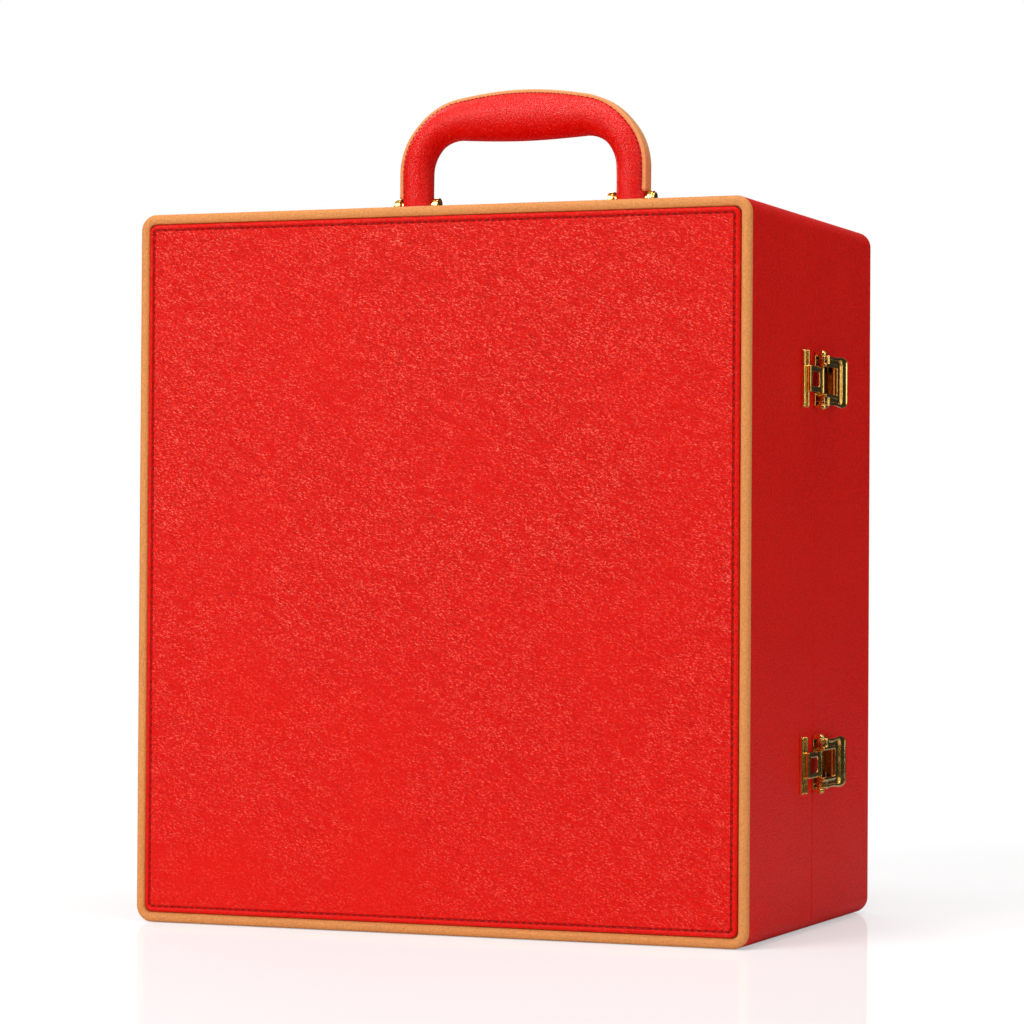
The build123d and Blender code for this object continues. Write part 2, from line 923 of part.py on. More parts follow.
def latch_lever(height):
    """Pressed lever: slotted plate, raised rim, finger lip, skirt and two pivot cheeks."""
    arm_half = latch_half_height - latch_ear_thickness - latch_clearance
    cheek_back = arm_half - cheek_thickness
    top = lever_under + lever_plate
    with BuildPart() as lever:
        extrude(lever_outline(height, lever_under, 0, 0), amount=lever_plate)
        with BuildSketch(latch_wall(height, lever_under)):
            with Locations(((lever_start + lever_wing_start) / 2, 0)):
                Rectangle(lever_wing_start - lever_start, 2 * arm_half)
        extrude(amount=lever_plate)
        recess = lever_outline(height, top, lever_border_width, lever_nose_width)
        extrude(lever_outline(height, top, 0, 0) - recess, amount=lever_border)
        fillet(lever.faces().sort_by(Axis.X)[-1].outer_wire().edges(), lever_round)
        add(lever_lip(height, top + lever_border))
        skirt_base = lever_under - lever_skirt_drop
        skirt = lever_outline(height, skirt_base, 0, 0) - lever_outline(
            height, skirt_base, lever_skirt, lever_skirt
        )
        extrude(skirt, amount=lever_skirt_drop)
        rim_end = slot_end + lever_rim_width
        with BuildSketch(latch_wall(height, top)):
            with Locations(((lever_start + rim_end) / 2, 0)):
                Rectangle(rim_end - lever_start, 2 * (slot_half_height + lever_rim_width))
        extrude(amount=lever_rim)
        with BuildSketch(latch_wall(height)):
            with Locations((slot_end / 2, 0)):
                Rectangle(slot_end, 2 * slot_half_height)
        extrude(amount=2 * top, mode=Mode.SUBTRACT)
        with BuildSketch(latch_section(height)) as cheek:
            with Locations(
                (lever_pivot_back, lever_pivot_out), (link_pivot_back, link_pivot_out)
            ):
                Circle(cheek_radius)
            make_hull(cheek.edges())
            with Locations(((lever_pivot_back + link_pivot_back) / 2, lever_pivot_out)):
                Rectangle(link_pivot_back - lever_pivot_back, 2 * (lever_under - lever_pivot_out))
        add(mirrored_slab(height, cheek_back, arm_half, cheek.sketch))
        pin_hole = pivot_circles(height, lever_pin_radius + running_clearance, 0)
        cut([mirrored_slab(height, cheek_back, latch_half_height, pin_hole)])
        link_hole = pivot_circles(height, 0, link_pin_radius)
        cut([mirrored_slab(height, cheek_back, latch_half_height, link_hole)])
    return lever.part


def latch_link(height):
    """Stepped link with a window, an eye at one end and a claw at the other."""
    claw_back = claw_face - claw_thickness
    low_top = link_low_under + link_plate
    high_top = link_high_under + link_plate
    with BuildPart() as link:
        with BuildSketch(latch_section(height)):
            with BuildLine():
                Polyline(
                    (link_pivot_back, low_top),
                    (link_step_end, low_top),
                    (link_step_start, high_top),
                    (claw_back, high_top),
                    (claw_back, claw_tip_out),
                    (claw_face, claw_tip_out),
                    (claw_face, link_high_under),
                    (link_step_start, link_high_under),
                    (link_step_end, link_low_under),
                    (link_pivot_back, link_low_under),
                    close=True,
                )
            make_face()
            with Locations((link_pivot_back, link_pivot_out)):
                Circle(link_eye_radius)
                Circle(link_pin_radius + running_clearance, mode=Mode.SUBTRACT)
        extrude(amount=link_half_height, both=True)
        with BuildSketch(latch_wall(height)):
            with Locations(((link_window_start + link_window_end) / 2, 0)):
                RectangleRounded(
                    link_window_end - link_window_start,
                    2 * link_window_half,
                    link_window_corner,
                )
        extrude(amount=2 * high_top, mode=Mode.SUBTRACT)
        claw_edge = link.edges().filter_by(Axis.Z).group_by(Axis.Y)[0].sort_by(Axis.X)[-1]
        fillet(claw_edge, claw_round)
    return link.part


def latch_keeper(height):
    """Keeper plate with a rolled lip for the claw and a rolled front edge."""
    lip_front = claw_face + keeper_lip_gap
    lip_back = lip_front + keeper_lip
    bead = keeper_bead_radius
    with BuildPart() as keeper:
        with BuildSketch(latch_section(height)):
            with Locations(((keeper_start + lip_back) / 2, base_plate / 2)):
                Rectangle(lip_back - keeper_start, base_plate)
            with Locations((lip_front + keeper_lip / 2, (keeper_top - bead) / 2)):
                Rectangle(keeper_lip, keeper_top - bead)
            with Locations((lip_front + bead, keeper_top - bead)):
                Circle(bead)
            edge_radius = keeper_edge_width / 2
            with Locations((keeper_start + edge_radius, (keeper_edge_top - edge_radius) / 2)):
                Rectangle(keeper_edge_width, keeper_edge_top - edge_radius)
            with Locations((keeper_start + edge_radius, keeper_edge_top - edge_radius)):
                Circle(edge_radius)
        extrude(amount=latch_half_height, both=True)
        cut(latch_screws[FRONT])
    return keeper.part


def lever_pins(height):
    """Two headed stub pins, one through each ear and cheek."""
    cheek_back = latch_half_height - latch_ear_thickness - latch_clearance - cheek_thickness
    shank = pivot_circles(height, lever_pin_radius, 0)
    head = pivot_circles(height, lever_pin_head_radius, 0)
    with BuildPart() as pins:
        add(mirrored_slab(height, cheek_back, latch_half_height, shank))
        add(
            mirrored_slab(
                height, latch_half_height, latch_half_height + lever_pin_head, head
            )
        )
    return pins.part


def link_pin(height):
    """Pin that carries the link between the cheeks of the lever."""
    reach = latch_half_height - latch_ear_thickness - latch_clearance
    with BuildPart() as pin:
        extrude(pivot_circles(height, 0, link_pin_radius), amount=reach, both=True)
    return pin.part


for place_name, height in LATCH_HEIGHTS.items():
    save(latch_base(height), f"{place_name}_latch_base")
    save(latch_lever(height), f"{place_name}_latch_lever")
    save(latch_link(height), f"{place_name}_latch_link")
    save(latch_keeper(height), f"{place_name}_latch_keeper")
    save(lever_pins(height), f"{place_name}_latch_lever_pins")
    save(link_pin(height), f"{place_name}_latch_link_pin")
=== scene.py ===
"""Looks of an upright red leather wine case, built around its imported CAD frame."""

import logging
from collections.abc import Iterable, Sequence
from dataclasses import dataclass, field
from enum import Enum
from math import asin, cos, pi, radians, sin
from typing import Any

import bmesh
import bpy
from mathutils import Matrix, Vector, noise


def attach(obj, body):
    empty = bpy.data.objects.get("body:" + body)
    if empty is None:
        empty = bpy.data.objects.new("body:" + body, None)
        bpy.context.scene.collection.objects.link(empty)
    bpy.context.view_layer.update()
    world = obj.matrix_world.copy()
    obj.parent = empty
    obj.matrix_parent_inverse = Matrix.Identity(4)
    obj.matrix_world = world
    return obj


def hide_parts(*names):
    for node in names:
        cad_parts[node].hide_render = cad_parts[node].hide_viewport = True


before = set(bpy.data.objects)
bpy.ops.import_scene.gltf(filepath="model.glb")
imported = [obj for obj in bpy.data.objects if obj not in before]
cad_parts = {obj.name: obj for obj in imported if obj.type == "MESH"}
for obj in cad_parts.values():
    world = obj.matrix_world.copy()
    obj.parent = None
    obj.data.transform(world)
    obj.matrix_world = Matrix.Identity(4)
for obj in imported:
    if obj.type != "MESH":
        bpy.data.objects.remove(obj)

log = logging.getLogger("wine_case")

Colour = tuple[float, float, float]
Triple = tuple[float, float, float]
Span = tuple[float, float]

MM = 0.001
MIDWAY = 0.5
SAME_PLACE = 1e-4
MIXED_COLOUR = 2
UNSTRETCHED: Triple = (1.0, 1.0, 1.0)
WHITE: Colour = (1.0, 1.0, 1.0)
ACROSS_CASE = Vector((0, 1, 0))
UPRIGHT = Vector((0, 0, 1))

# Sizes of the two faces, in millimetres

FACE_MIDDLE = 175.0
FACE_BACK = 98.2
PANEL_WIDTH = 307.6
PANEL_HEIGHT = 339.6
WELT_WIDTH = 318.0
WELT_HEIGHT = 350.0


class Half(Enum):
    """The two halves of the case, valued by the way their face looks along Y."""

    FRONT = -1
    BACK = 1

    @property
    def label(self) -> str:
        """Name that the half's nodes start with."""
        return self.name.lower()

    @property
    def body(self) -> str:
        """Name of the CAD body that the half's pieces ride on."""
        return f"{self.label}_half"


class Level(Enum):
    """Places of the latches and hinges, one above the other."""

    UPPER = "upper"
    LOWER = "lower"


class Side(Enum):
    """Sides of the handle, valued as its nodes' names start."""

    LEFT = "left"
    RIGHT = "right"


# Shader maths


class Signal:
    """A number that a shader works out, with arithmetic that adds Math nodes."""

    def __init__(self, sheet: "NodeSheet", socket: bpy.types.NodeSocket) -> None:
        """Keep the socket that carries the number.

        Args:
            sheet: The node sheet that the socket is on.
            socket: The output socket.
        """
        self.sheet = sheet
        self.socket = socket

    def _maths(self, operation: str, *operands: "Signal | float") -> "Signal":
        """Add one Math node over the operands, in order, and return its result."""
        settings = {"operation": operation}
        return self.sheet.signal("ShaderNodeMath", settings, dict(enumerate(operands)))

    def __add__(self, other: "Signal | float") -> "Signal":
        """Sum of both."""
        return self._maths("ADD", self, other)

    __radd__ = __add__

    def __sub__(self, other: "Signal | float") -> "Signal":
        """Difference of both."""
        return self._maths("SUBTRACT", self, other)

    def __rsub__(self, other: float) -> "Signal":
        """A number less this one."""
        return self._maths("SUBTRACT", other, self)

    def __mul__(self, other: "Signal | float") -> "Signal":
        """Product of both."""
        return self._maths("MULTIPLY", self, other)

    __rmul__ = __mul__

    def __truediv__(self, other: "Signal | float") -> "Signal":
        """This one over the other."""
        return self._maths("DIVIDE", self, other)

    def __pow__(self, other: "Signal | float") -> "Signal":
        """This one to the power of the other."""
        return self._maths("POWER", self, other)

    def __abs__(self) -> "Signal":
        """Size without sign."""
        return self._maths("ABSOLUTE", self)

    def smaller(self, other: "Signal | float") -> "Signal":
        """The smaller of both."""
        return self._maths("MINIMUM", self, other)

    def larger(self, other: "Signal | float") -> "Signal":
        """The larger of both."""
        return self._maths("MAXIMUM", self, other)

    def step(self, low: float, high: float) -> "Signal":
        """Smooth step of this number.

        Args:
            low: The number that gives 0.
            high: The number that gives 1, which may be the smaller one.

        Returns:
            A number from 0 to 1.
        """
        sockets = {"Value": self, "From Min": low, "From Max": high}
        settings = {"interpolation_type": "SMOOTHSTEP"}
        return self.sheet.signal("ShaderNodeMapRange", settings, sockets, "Result")


class NodeSheet:
    """The nodes of one material or world."""

    def __init__(self, tree: bpy.types.NodeTree) -> None:
        """Start from an empty sheet.

        Args:
            tree: The node tree, whose nodes are removed.
        """
        self.tree = tree
        tree.nodes.clear()

    def node(
        self,
        kind: str,
        settings: dict[str, Any] | None = None,
        sockets: dict[Any, Any] | None = None,
    ) -> bpy.types.Node:
        """Add a node.

        Args:
            kind: Blender's name for the node's type.
            settings: The node's own settings, which are set first.
            sockets: Values or links of its input sockets, by name, identifier or place.

        Returns:
            The new node.
        """
        made = self.tree.nodes.new(kind)
        for name, value in (settings or {}).items():
            setattr(made, name, value)
        for key, value in (sockets or {}).items():
            socket = made.inputs[key] if isinstance(key, int) else self._socket(made, key)
            source = value.socket if isinstance(value, Signal) else value
            if isinstance(source, bpy.types.NodeSocket):
                self.tree.links.new(source, socket)
            elif socket.type == "RGBA":
                socket.default_value = (*source, 1.0)
            else:
                socket.default_value = source
        return made

    @staticmethod
    def _socket(node: bpy.types.Node, key: str) -> bpy.types.NodeSocket:
        """Find an input socket by its identifier or by its name."""
        return next(s for s in node.inputs if s.identifier == key or (s.name == key and s.enabled))

    def signal(
        self,
        kind: str,
        settings: dict[str, Any] | None = None,
        sockets: dict[Any, Any] | None = None,
        output: str | int = 0,
    ) -> Signal:
        """Add a node and take one number that it gives.

        Args:
            kind: Blender's name for the node's type.
            settings: The node's own settings.
            sockets: Values or links of its input sockets.
            output: The output socket's name or place.

        Returns:
            The number.
        """
        return Signal(self, self.node(kind, settings, sockets).outputs[output])

    def place(self, stretch: Triple = UNSTRETCHED, lean: float = 0.0) -> bpy.types.NodeSocket:
        """Object coordinates in millimetres.

        Args:
            stretch: Factors along X, Y and Z.
            lean: How far the pattern leans about Y, in degrees.

        Returns:
            The socket that carries the place.
        """
        where = self.node("ShaderNodeTexCoord").outputs["Object"]
        if lean != 0.0:
            leaning = {"Vector": where, "Rotation": (0.0, radians(lean), 0.0)}
            where = self.node("ShaderNodeMapping", None, leaning).outputs[0]
        scale = tuple(factor / MM for factor in stretch)
        return self.node("ShaderNodeMapping", None, {"Vector": where, "Scale": scale}).outputs[0]

    def axes(self, place: bpy.types.NodeSocket) -> tuple[Signal, Signal, Signal]:
        """The three numbers of a place.

        Args:
            place: The socket that carries the place.

        Returns:
            Its X, Y and Z.
        """
        parts = self.node("ShaderNodeSeparateXYZ", None, {0: place}).outputs
        return Signal(self, parts[0]), Signal(self, parts[1]), Signal(self, parts[2])

    def speckle(
        self, place: bpy.types.NodeSocket, kind: "Speckle", unit: float = 1.0
    ) -> Signal:
        """Soft random variation.

        Args:
            place: The socket that carries the place, in millimetres.
            kind: What the variation is like.
            unit: What its size is counted in, in millimetres.

        Returns:
            A number from 0 to 1, mostly near a half.
        """
        sockets = {
            "Vector": place,
            "Scale": 1 / (kind.size * unit),
            "Detail": kind.detail,
            "Distortion": kind.wobble,
        }
        return self.signal("ShaderNodeTexNoise", None, sockets)

    def pebbles(self, place: bpy.types.NodeSocket, size: float) -> Signal:
        """Cells like the pebbles of grained leather.

        Args:
            place: The socket that carries the place, in millimetres.
            size: Size of a cell in millimetres.

        Returns:
            A number that is 0 in the creases and grows towards a cell's middle.
        """
        settings = {"feature": "DISTANCE_TO_EDGE"}
        sockets = {"Vector": place, "Scale": 1 / size}
        return self.signal("ShaderNodeTexVoronoi", settings, sockets, "Distance")

    def bent(
        self, place: bpy.types.NodeSocket, size: float, amount: float
    ) -> bpy.types.NodeSocket:
        """A place moved about at random, so that a pattern on it looks grown.

        Args:
            place: The socket that carries the place, in millimetres.
            size: Size of the bends in millimetres.
            amount: How far they move a point, in millimetres.

        Returns:
            The socket that carries the new place.
        """
        sockets = {"Vector": place, "Scale": 1 / size, "Detail": 1.0}
        sway = self.node("ShaderNodeTexNoise", None, sockets).outputs["Color"]
        centred = self.vectors("SUBTRACT", {0: sway, 1: (MIDWAY, MIDWAY, MIDWAY)})
        grown = self.vectors("SCALE", {0: centred, "Scale": 2 * amount})
        return self.vectors("ADD", {0: place, 1: grown})

    def vectors(self, operation: str, sockets: dict[Any, Any]) -> bpy.types.NodeSocket:
        """Add one Vector Math node.

        Args:
            operation: What it does.
            sockets: Values or links of its input sockets.

        Returns:
            The socket that carries its result.
        """
        return self.node("ShaderNodeVectorMath", {"operation": operation}, sockets).outputs[0]

    def blend(
        self,
        factor: Signal,
        low: Colour | bpy.types.NodeSocket,
        high: Colour | bpy.types.NodeSocket,
    ) -> bpy.types.NodeSocket:
        """Mix two colours.

        Args:
            factor: 0 gives the first and 1 the second.
            low: The first colour.
            high: The second colour.

        Returns:
            The socket that carries the mixed colour.
        """
        sockets = {"Factor_Float": factor, "A_Color": low, "B_Color": high}
        return self.node("ShaderNodeMix", {"data_type": "RGBA"}, sockets).outputs[MIXED_COLOUR]

    def relief(
        self,
        height: Signal,
        depth: float,
        under: bpy.types.NodeSocket | None = None,
    ) -> bpy.types.NodeSocket:
        """Surface relief from a height.

        Args:
            height: The height, where 1 is full depth.
            depth: Full depth in millimetres.
            under: Normal that the relief is laid on.

        Returns:
            The socket that carries the normal.
        """
        sockets = {"Height": height, "Distance": depth * MM}
        if under is not None:
            sockets["Normal"] = under
        return self.node("ShaderNodeBump", None, sockets).outputs[0]

    def surface(self, shader: str, sockets: dict[Any, Any], target: str) -> None:
        """Add the last shader and link it to the output.

        Args:
            shader: Blender's name for the shader's type.
            sockets: Its input sockets.
            target: Blender's name for the output's type.
        """
        last = self.node(shader, None, sockets)
        self.node(target, None, {"Surface": last.outputs[0]})


# Finishes


@dataclass(frozen=True)
class Speckle:
    """Soft random variation, with the size of its spots in millimetres or in another unit."""

    size: float
    detail: float
    wobble: float = 0.0


@dataclass(frozen=True)
class Finish:
    """A finish that a material is made from once."""

    name: str

    def material(self) -> bpy.types.Material:
        """Make the material, or take the one made before.

        Returns:
            The material.
        """
        found = bpy.data.materials.get(self.name)
        if found is not None:
            return found
        made = bpy.data.materials.new(self.name)
        made.use_nodes = True
        sheet = NodeSheet(made.node_tree)
        sheet.surface("ShaderNodeBsdfPrincipled", self.sockets(sheet), "ShaderNodeOutputMaterial")
        return made

    def sockets(self, sheet: NodeSheet) -> dict[str, Any]:
        """Inputs of the Principled shader.

        Args:
            sheet: The sheet that carries the nodes.

        Returns:
            Values or links by socket name.
        """
        raise NotImplementedError


@dataclass(frozen=True)
class GrainedLeather(Finish):
    """Embossed leather with a pebbled grain, painted highlights on its ridges and painted shade in
    its creases.

    The cell, the depth, the rim, the patches and the tone are in millimetres. The bends,
    wrinkles, ridges and waves are counted in cells. A span gives the numbers between which
    a pattern grows from nothing to its full strength.
    """

    # Painted shade: the crease colour darkens the grain's creases.
    crease_shade: Colour
    body: Colour
    # Painted highlight: the crest colour lightens the grain's ridges where a lamp would glint on
    # them.
    crest_highlight: Colour
    cell: float
    depth: float
    roughness: float
    specular: float
    stretch: Triple = UNSTRETCHED
    lean: float = 0.0
    rim_width: float = 0.0
    rim_half: Span = (0.0, 0.0)
    rim_grain: float = 0.35
    rim_fade: Span = (-0.5, 1.0)
    painted_light_fade_height: float = 0.0
    least_painted_light: float = 0.2
    patches: Speckle = Speckle(90.0, 1.0)
    patch_span: Span = (0.3, 0.6)
    bend: float = 2.4
    bend_reach: float = 0.45
    pebble_span: Span = (0.0, 0.32)
    wrinkles: Speckle = Speckle(1.7, 1.0, 0.5)
    wrinkle_span: Span = (0.0, 0.08)
    ridges: Speckle = Speckle(1.5, 1.0, 0.3)
    ridge_span: Span = (0.09, 0.0)
    waves: Speckle = Speckle(5.0, 2.0, 0.6)
    wave_span: Span = (0.2, 0.65)
    tones: Speckle = Speckle(34.0, 2.0)
    tone_low: float = 0.85
    tone_reach: float = 0.3
    crease_shade_span: Span = (0.0, 0.8)
    pebble_rise: float = 0.4
    wrinkle_rise: float = 0.3
    ridge_rise: float = 0.3
    wave_rise: float = 0.2
    crease_rough: float = 0.12
    tone_rough: float = 0.1

    def calm(self, sheet: NodeSheet) -> Signal | float:
        """How much of the grain is left, which fades on a rolled rim.

        Args:
            sheet: The sheet that carries the nodes.

        Returns:
            1 in the field and less on the rim.
        """
        if self.rim_width == 0.0:
            return 1.0
        half_width, half_height = self.rim_half
        x, _, z = sheet.axes(sheet.place())
        inside = (half_width - abs(x)).smaller(half_height - abs(z - FACE_MIDDLE))
        field_share = inside.step(*(self.rim_width + fade for fade in self.rim_fade))
        return self.rim_grain + (1 - self.rim_grain) * field_share

    def painted_light_strength(self, sheet: NodeSheet) -> Signal | float:
        """How strong the painted highlights and painted crease shade are, weaker in random patches
        and towards the bottom.

        Args:
            sheet: The sheet that carries the nodes.

        Returns:
            1 where they are at full strength and less where the painted light fades.
        """
        if self.painted_light_fade_height == 0.0:
            return 1.0
        # The painted highlights and painted crease shade are weaker in random patches and towards
        # the bottom, where less light falls.
        patch = sheet.speckle(sheet.place(), self.patches).step(*self.patch_span)
        _, _, z = sheet.axes(sheet.place())
        height = z.step(0.0, self.painted_light_fade_height)
        return self.least_painted_light + (1 - self.least_painted_light) / 2 * (patch + height)

    def lines(
        self, sheet: NodeSheet, place: bpy.types.NodeSocket, kind: Speckle, span: Span
    ) -> Signal:
        """Winding lines, where a random variation passes through its middle.

        Args:
            sheet: The sheet that carries the nodes.
            place: The socket that carries the place, in millimetres.
            kind: The variation, counted in cells.
            span: Distances from the middle that give 0 and 1.

        Returns:
            A number from 0 to 1.
        """
        return abs(sheet.speckle(place, kind, self.cell) - MIDWAY).step(*span)

    def sockets(self, sheet: NodeSheet) -> dict[str, Any]:
        """Inputs of the Principled shader.

        Args:
            sheet: The sheet that carries the nodes.

        Returns:
            Values or links by socket name.
        """
        place = sheet.place(self.stretch, self.lean)
        bent = sheet.bent(place, self.bend * self.cell, self.bend_reach * self.cell)
        pebble = sheet.pebbles(bent, self.cell).step(*self.pebble_span)
        wrinkle = self.lines(sheet, place, self.wrinkles, self.wrinkle_span)
        ridge = self.lines(sheet, bent, self.ridges, self.ridge_span)
        wave = sheet.speckle(place, self.waves, self.cell)
        tone = sheet.speckle(sheet.place(), self.tones)
        calm, painted_light_strength = self.calm(sheet), self.painted_light_strength(sheet)

        low = self.pebble_rise * pebble + self.wrinkle_rise * wrinkle
        high = self.ridge_rise * ridge + self.wave_rise * wave
        shade = (pebble + wrinkle) / 2 * (self.tone_low + self.tone_reach * tone)
        # Painted shade: the crease colour darkens the creases between the pebbles.
        painted_shade = (1 - shade.step(*self.crease_shade_span)) * painted_light_strength
        # Painted highlight: the crest colour is laid on the ridges of the pebbles.
        painted_highlight = ridge * pebble * wave.step(*self.wave_span) * calm * painted_light_strength
        dull = self.crease_rough * (1 - pebble) + self.tone_rough * (tone - MIDWAY)
        shaded_body = sheet.blend(painted_shade, self.body, self.crease_shade)
        return {
            "Base Color": sheet.blend(painted_highlight, shaded_body, self.crest_highlight),
            "Roughness": self.roughness + dull,
            "Specular IOR Level": self.specular,
            "Normal": sheet.relief((low + high) * calm, self.depth),
        }


@dataclass(frozen=True)
class SmoothLeather(Finish):
    """Fine leather with pores, faint creases and a slow change of tone.

    The pore, the depth and the tone are in millimetres. The bends and the dust are counted
    in pores, and a span is read as for the grained leather.
    """

    deep: Colour
    body: Colour
    pore: float
    depth: float
    roughness: float
    specular: float
    mottle: float
    stretch: Triple = UNSTRETCHED
    bend: float = 4.0
    bend_reach: float = 0.6
    pore_span: Span = (0.0, 0.3)
    dust: Speckle = Speckle(1.3, 3.0)
    dust_span: Span = (0.32, 0.68)
    tones: Speckle = Speckle(48.0, 3.0)
    pore_rise: float = 0.55
    dust_rise: float = 0.45
    dust_shade: float = 0.5
    pore_shade: float = 0.2
    tone_shade: float = 0.3
    tone_rough: float = 0.14
    pore_rough: float = 0.1

    def sockets(self, sheet: NodeSheet) -> dict[str, Any]:
        """Inputs of the Principled shader.

        Args:
            sheet: The sheet that carries the nodes.

        Returns:
            Values or links by socket name.
        """
        place = sheet.place(self.stretch)
        bent = sheet.bent(place, self.bend * self.pore, self.bend_reach * self.pore)
        pores = sheet.pebbles(bent, self.pore).step(*self.pore_span)
        dust = sheet.speckle(place, self.dust, self.pore).step(*self.dust_span)
        tone = sheet.speckle(sheet.place(), self.tones)

        height = self.pore_rise * pores + self.dust_rise * dust
        mixed = self.dust_shade * dust + self.pore_shade * pores + self.tone_shade * tone
        shade = (1 - self.mottle) + self.mottle * mixed
        dull = self.tone_rough * (tone - MIDWAY) + self.pore_rough * (MIDWAY - pores)
        return {
            "Base Color": sheet.blend(shade, self.deep, self.body),
            "Roughness": self.roughness + dull,
            "Specular IOR Level": self.specular,
            "Normal": sheet.relief(height, self.depth),
        }


@dataclass(frozen=True)
class PolishedMetal(Finish):
    """Polished plated metal with eased edges, faint smudges and hairlines."""

    colour: Colour
    shadow: Colour
    roughness: float
    edge: float
    edge_samples: int = 6
    smudges: Speckle = Speckle(3.5, 3.0, 0.4)
    smudge_span: Span = (0.3, 0.7)
    smear_span: Span = (0.45, 0.8)
    smear_rough: float = 0.1
    hairlines: Speckle = Speckle(1.2, 4.0)
    hairline_stretch: Triple = (1.0, 0.25, 6.0)
    smudge_rise: float = 0.6
    hairline_rise: float = 0.4
    depth: float = 0.012

    def sockets(self, sheet: NodeSheet) -> dict[str, Any]:
        """Inputs of the Principled shader.

        Args:
            sheet: The sheet that carries the nodes.

        Returns:
            Values or links by socket name.
        """
        smudge = sheet.speckle(sheet.place(), self.smudges)
        hairline = sheet.speckle(sheet.place(self.hairline_stretch), self.hairlines)
        smear = smudge.step(*self.smear_span) * hairline
        height = self.smudge_rise * smudge + self.hairline_rise * hairline
        eased = sheet.node(
            "ShaderNodeBevel", {"samples": self.edge_samples}, {"Radius": self.edge * MM}
        )
        return {
            "Base Color": sheet.blend(smudge.step(*self.smudge_span), self.shadow, self.colour),
            "Metallic": 1.0,
            "Roughness": self.roughness + self.smear_rough * smear,
            "Normal": sheet.relief(height, self.depth, eased.outputs[0]),
        }


@dataclass(frozen=True)
class PileCloth(Finish):
    """Short-piled lining that shows where it has been brushed."""

    deep: Colour
    body: Colour
    fibres: Speckle = Speckle(0.35, 3.0)
    fibre_stretch: Triple = (1.0, 1.0, 0.5)
    brushing: Speckle = Speckle(26.0, 3.0, 1.2)
    shade_span: Span = (0.32, 0.68)
    roughness: float = 0.92
    sheen: float = 0.35
    sheen_roughness: float = 0.4
    specular: float = 0.2
    depth: float = 0.14

    def sockets(self, sheet: NodeSheet) -> dict[str, Any]:
        """Inputs of the Principled shader.

        Args:
            sheet: The sheet that carries the nodes.

        Returns:
            Values or links by socket name.
        """
        fibre = sheet.speckle(sheet.place(self.fibre_stretch), self.fibres)
        brushed = sheet.speckle(sheet.place(), self.brushing)
        shade = ((fibre + brushed) / 2).step(*self.shade_span)
        return {
            "Base Color": sheet.blend(shade, self.deep, self.body),
            "Roughness": self.roughness,
            "Sheen Weight": self.sheen,
            "Sheen Roughness": self.sheen_roughness,
            "Specular IOR Level": self.specular,
            "Normal": sheet.relief(fibre, self.depth),
        }


@dataclass(frozen=True)
class Board(Finish):
    """Pressed board with drawn-out fibres."""

    deep: Colour
    body: Colour
    fibres: Speckle = Speckle(1.6, 4.0, 0.8)
    fibre_stretch: Triple = (1.0, 1.0, 0.12)
    shade_span: Span = (0.3, 0.7)
    roughness: float = 0.75
    fibre_rough: float = 0.15
    depth: float = 0.15

    def sockets(self, sheet: NodeSheet) -> dict[str, Any]:
        """Inputs of the Principled shader.

        Args:
            sheet: The sheet that carries the nodes.

        Returns:
            Values or links by socket name.
        """
        fibre = sheet.speckle(sheet.place(self.fibre_stretch), self.fibres)
        return {
            "Base Color": sheet.blend(fibre.step(*self.shade_span), self.deep, self.body),
            "Roughness": self.roughness + self.fibre_rough * fibre,
            "Normal": sheet.relief(fibre, self.depth),
        }


@dataclass(frozen=True)
class Thread(Finish):
    """Waxed sewing thread with a twist."""

    deep: Colour
    body: Colour
    strands: Speckle = Speckle(0.22, 2.0)
    shade_span: Span = (0.35, 0.65)
    roughness: float = 0.55
    specular: float = 0.3
    depth: float = 0.05

    def sockets(self, sheet: NodeSheet) -> dict[str, Any]:
        """Inputs of the Principled shader.

        Args:
            sheet: The sheet that carries the nodes.

        Returns:
            Values or links by socket name.
        """
        twist = sheet.speckle(sheet.place(), self.strands)
        return {
            "Base Color": sheet.blend(twist.step(*self.shade_span), self.deep, self.body),
            "Roughness": self.roughness,
            "Specular IOR Level": self.specular,
            "Normal": sheet.relief(twist, self.depth),
        }


# In the grained leathers, the crest colours are painted highlights and the crease colours are
# painted shade.
PANEL_LEATHER = GrainedLeather(
    name="panel_leather",
    crease_shade=(0.42, 0.002, 0.001),
    body=(0.65, 0.004, 0.0008),
    crest_highlight=(0.97, 0.15, 0.10),
    cell=0.85,
    depth=0.21,
    roughness=0.34,
    specular=0.08,
    stretch=(0.42, 1.0, 1.3),
    lean=-24.0,
    rim_width=3.2,
    rim_half=(PANEL_WIDTH / 2, PANEL_HEIGHT / 2),
    # Painted highlights and painted crease shade fade below this height.
    painted_light_fade_height=230.0,
)
GRIP_LEATHER = GrainedLeather(
    name="grip_leather",
    crease_shade=(0.56, 0.003, 0.001),
    body=(0.71, 0.004, 0.001),
    crest_highlight=(0.90, 0.045, 0.025),
    cell=1.0,
    depth=0.2,
    roughness=0.22,
    specular=0.3,
)
SIDE_LEATHER = SmoothLeather(
    name="side_leather",
    deep=(0.44, 0.003, 0.001),
    body=(0.72, 0.006, 0.002),
    pore=0.9,
    depth=0.12,
    roughness=0.42,
    specular=0.08,
    mottle=0.8,
    stretch=(1.0, 0.4, 1.0),
)
WELT_LEATHER = SmoothLeather(
    name="welt_suede",
    deep=(0.34, 0.10, 0.025),
    body=(0.72, 0.29, 0.08),
    pore=0.75,
    depth=0.12,
    roughness=0.5,
    specular=0.2,
    mottle=0.6,
)
BAND_LEATHER = SmoothLeather(
    name="band_leather",
    deep=(0.50, 0.18, 0.055),
    body=(0.84, 0.37, 0.135),
    pore=0.6,
    depth=0.08,
    roughness=0.48,
    specular=0.2,
    mottle=0.6,
)
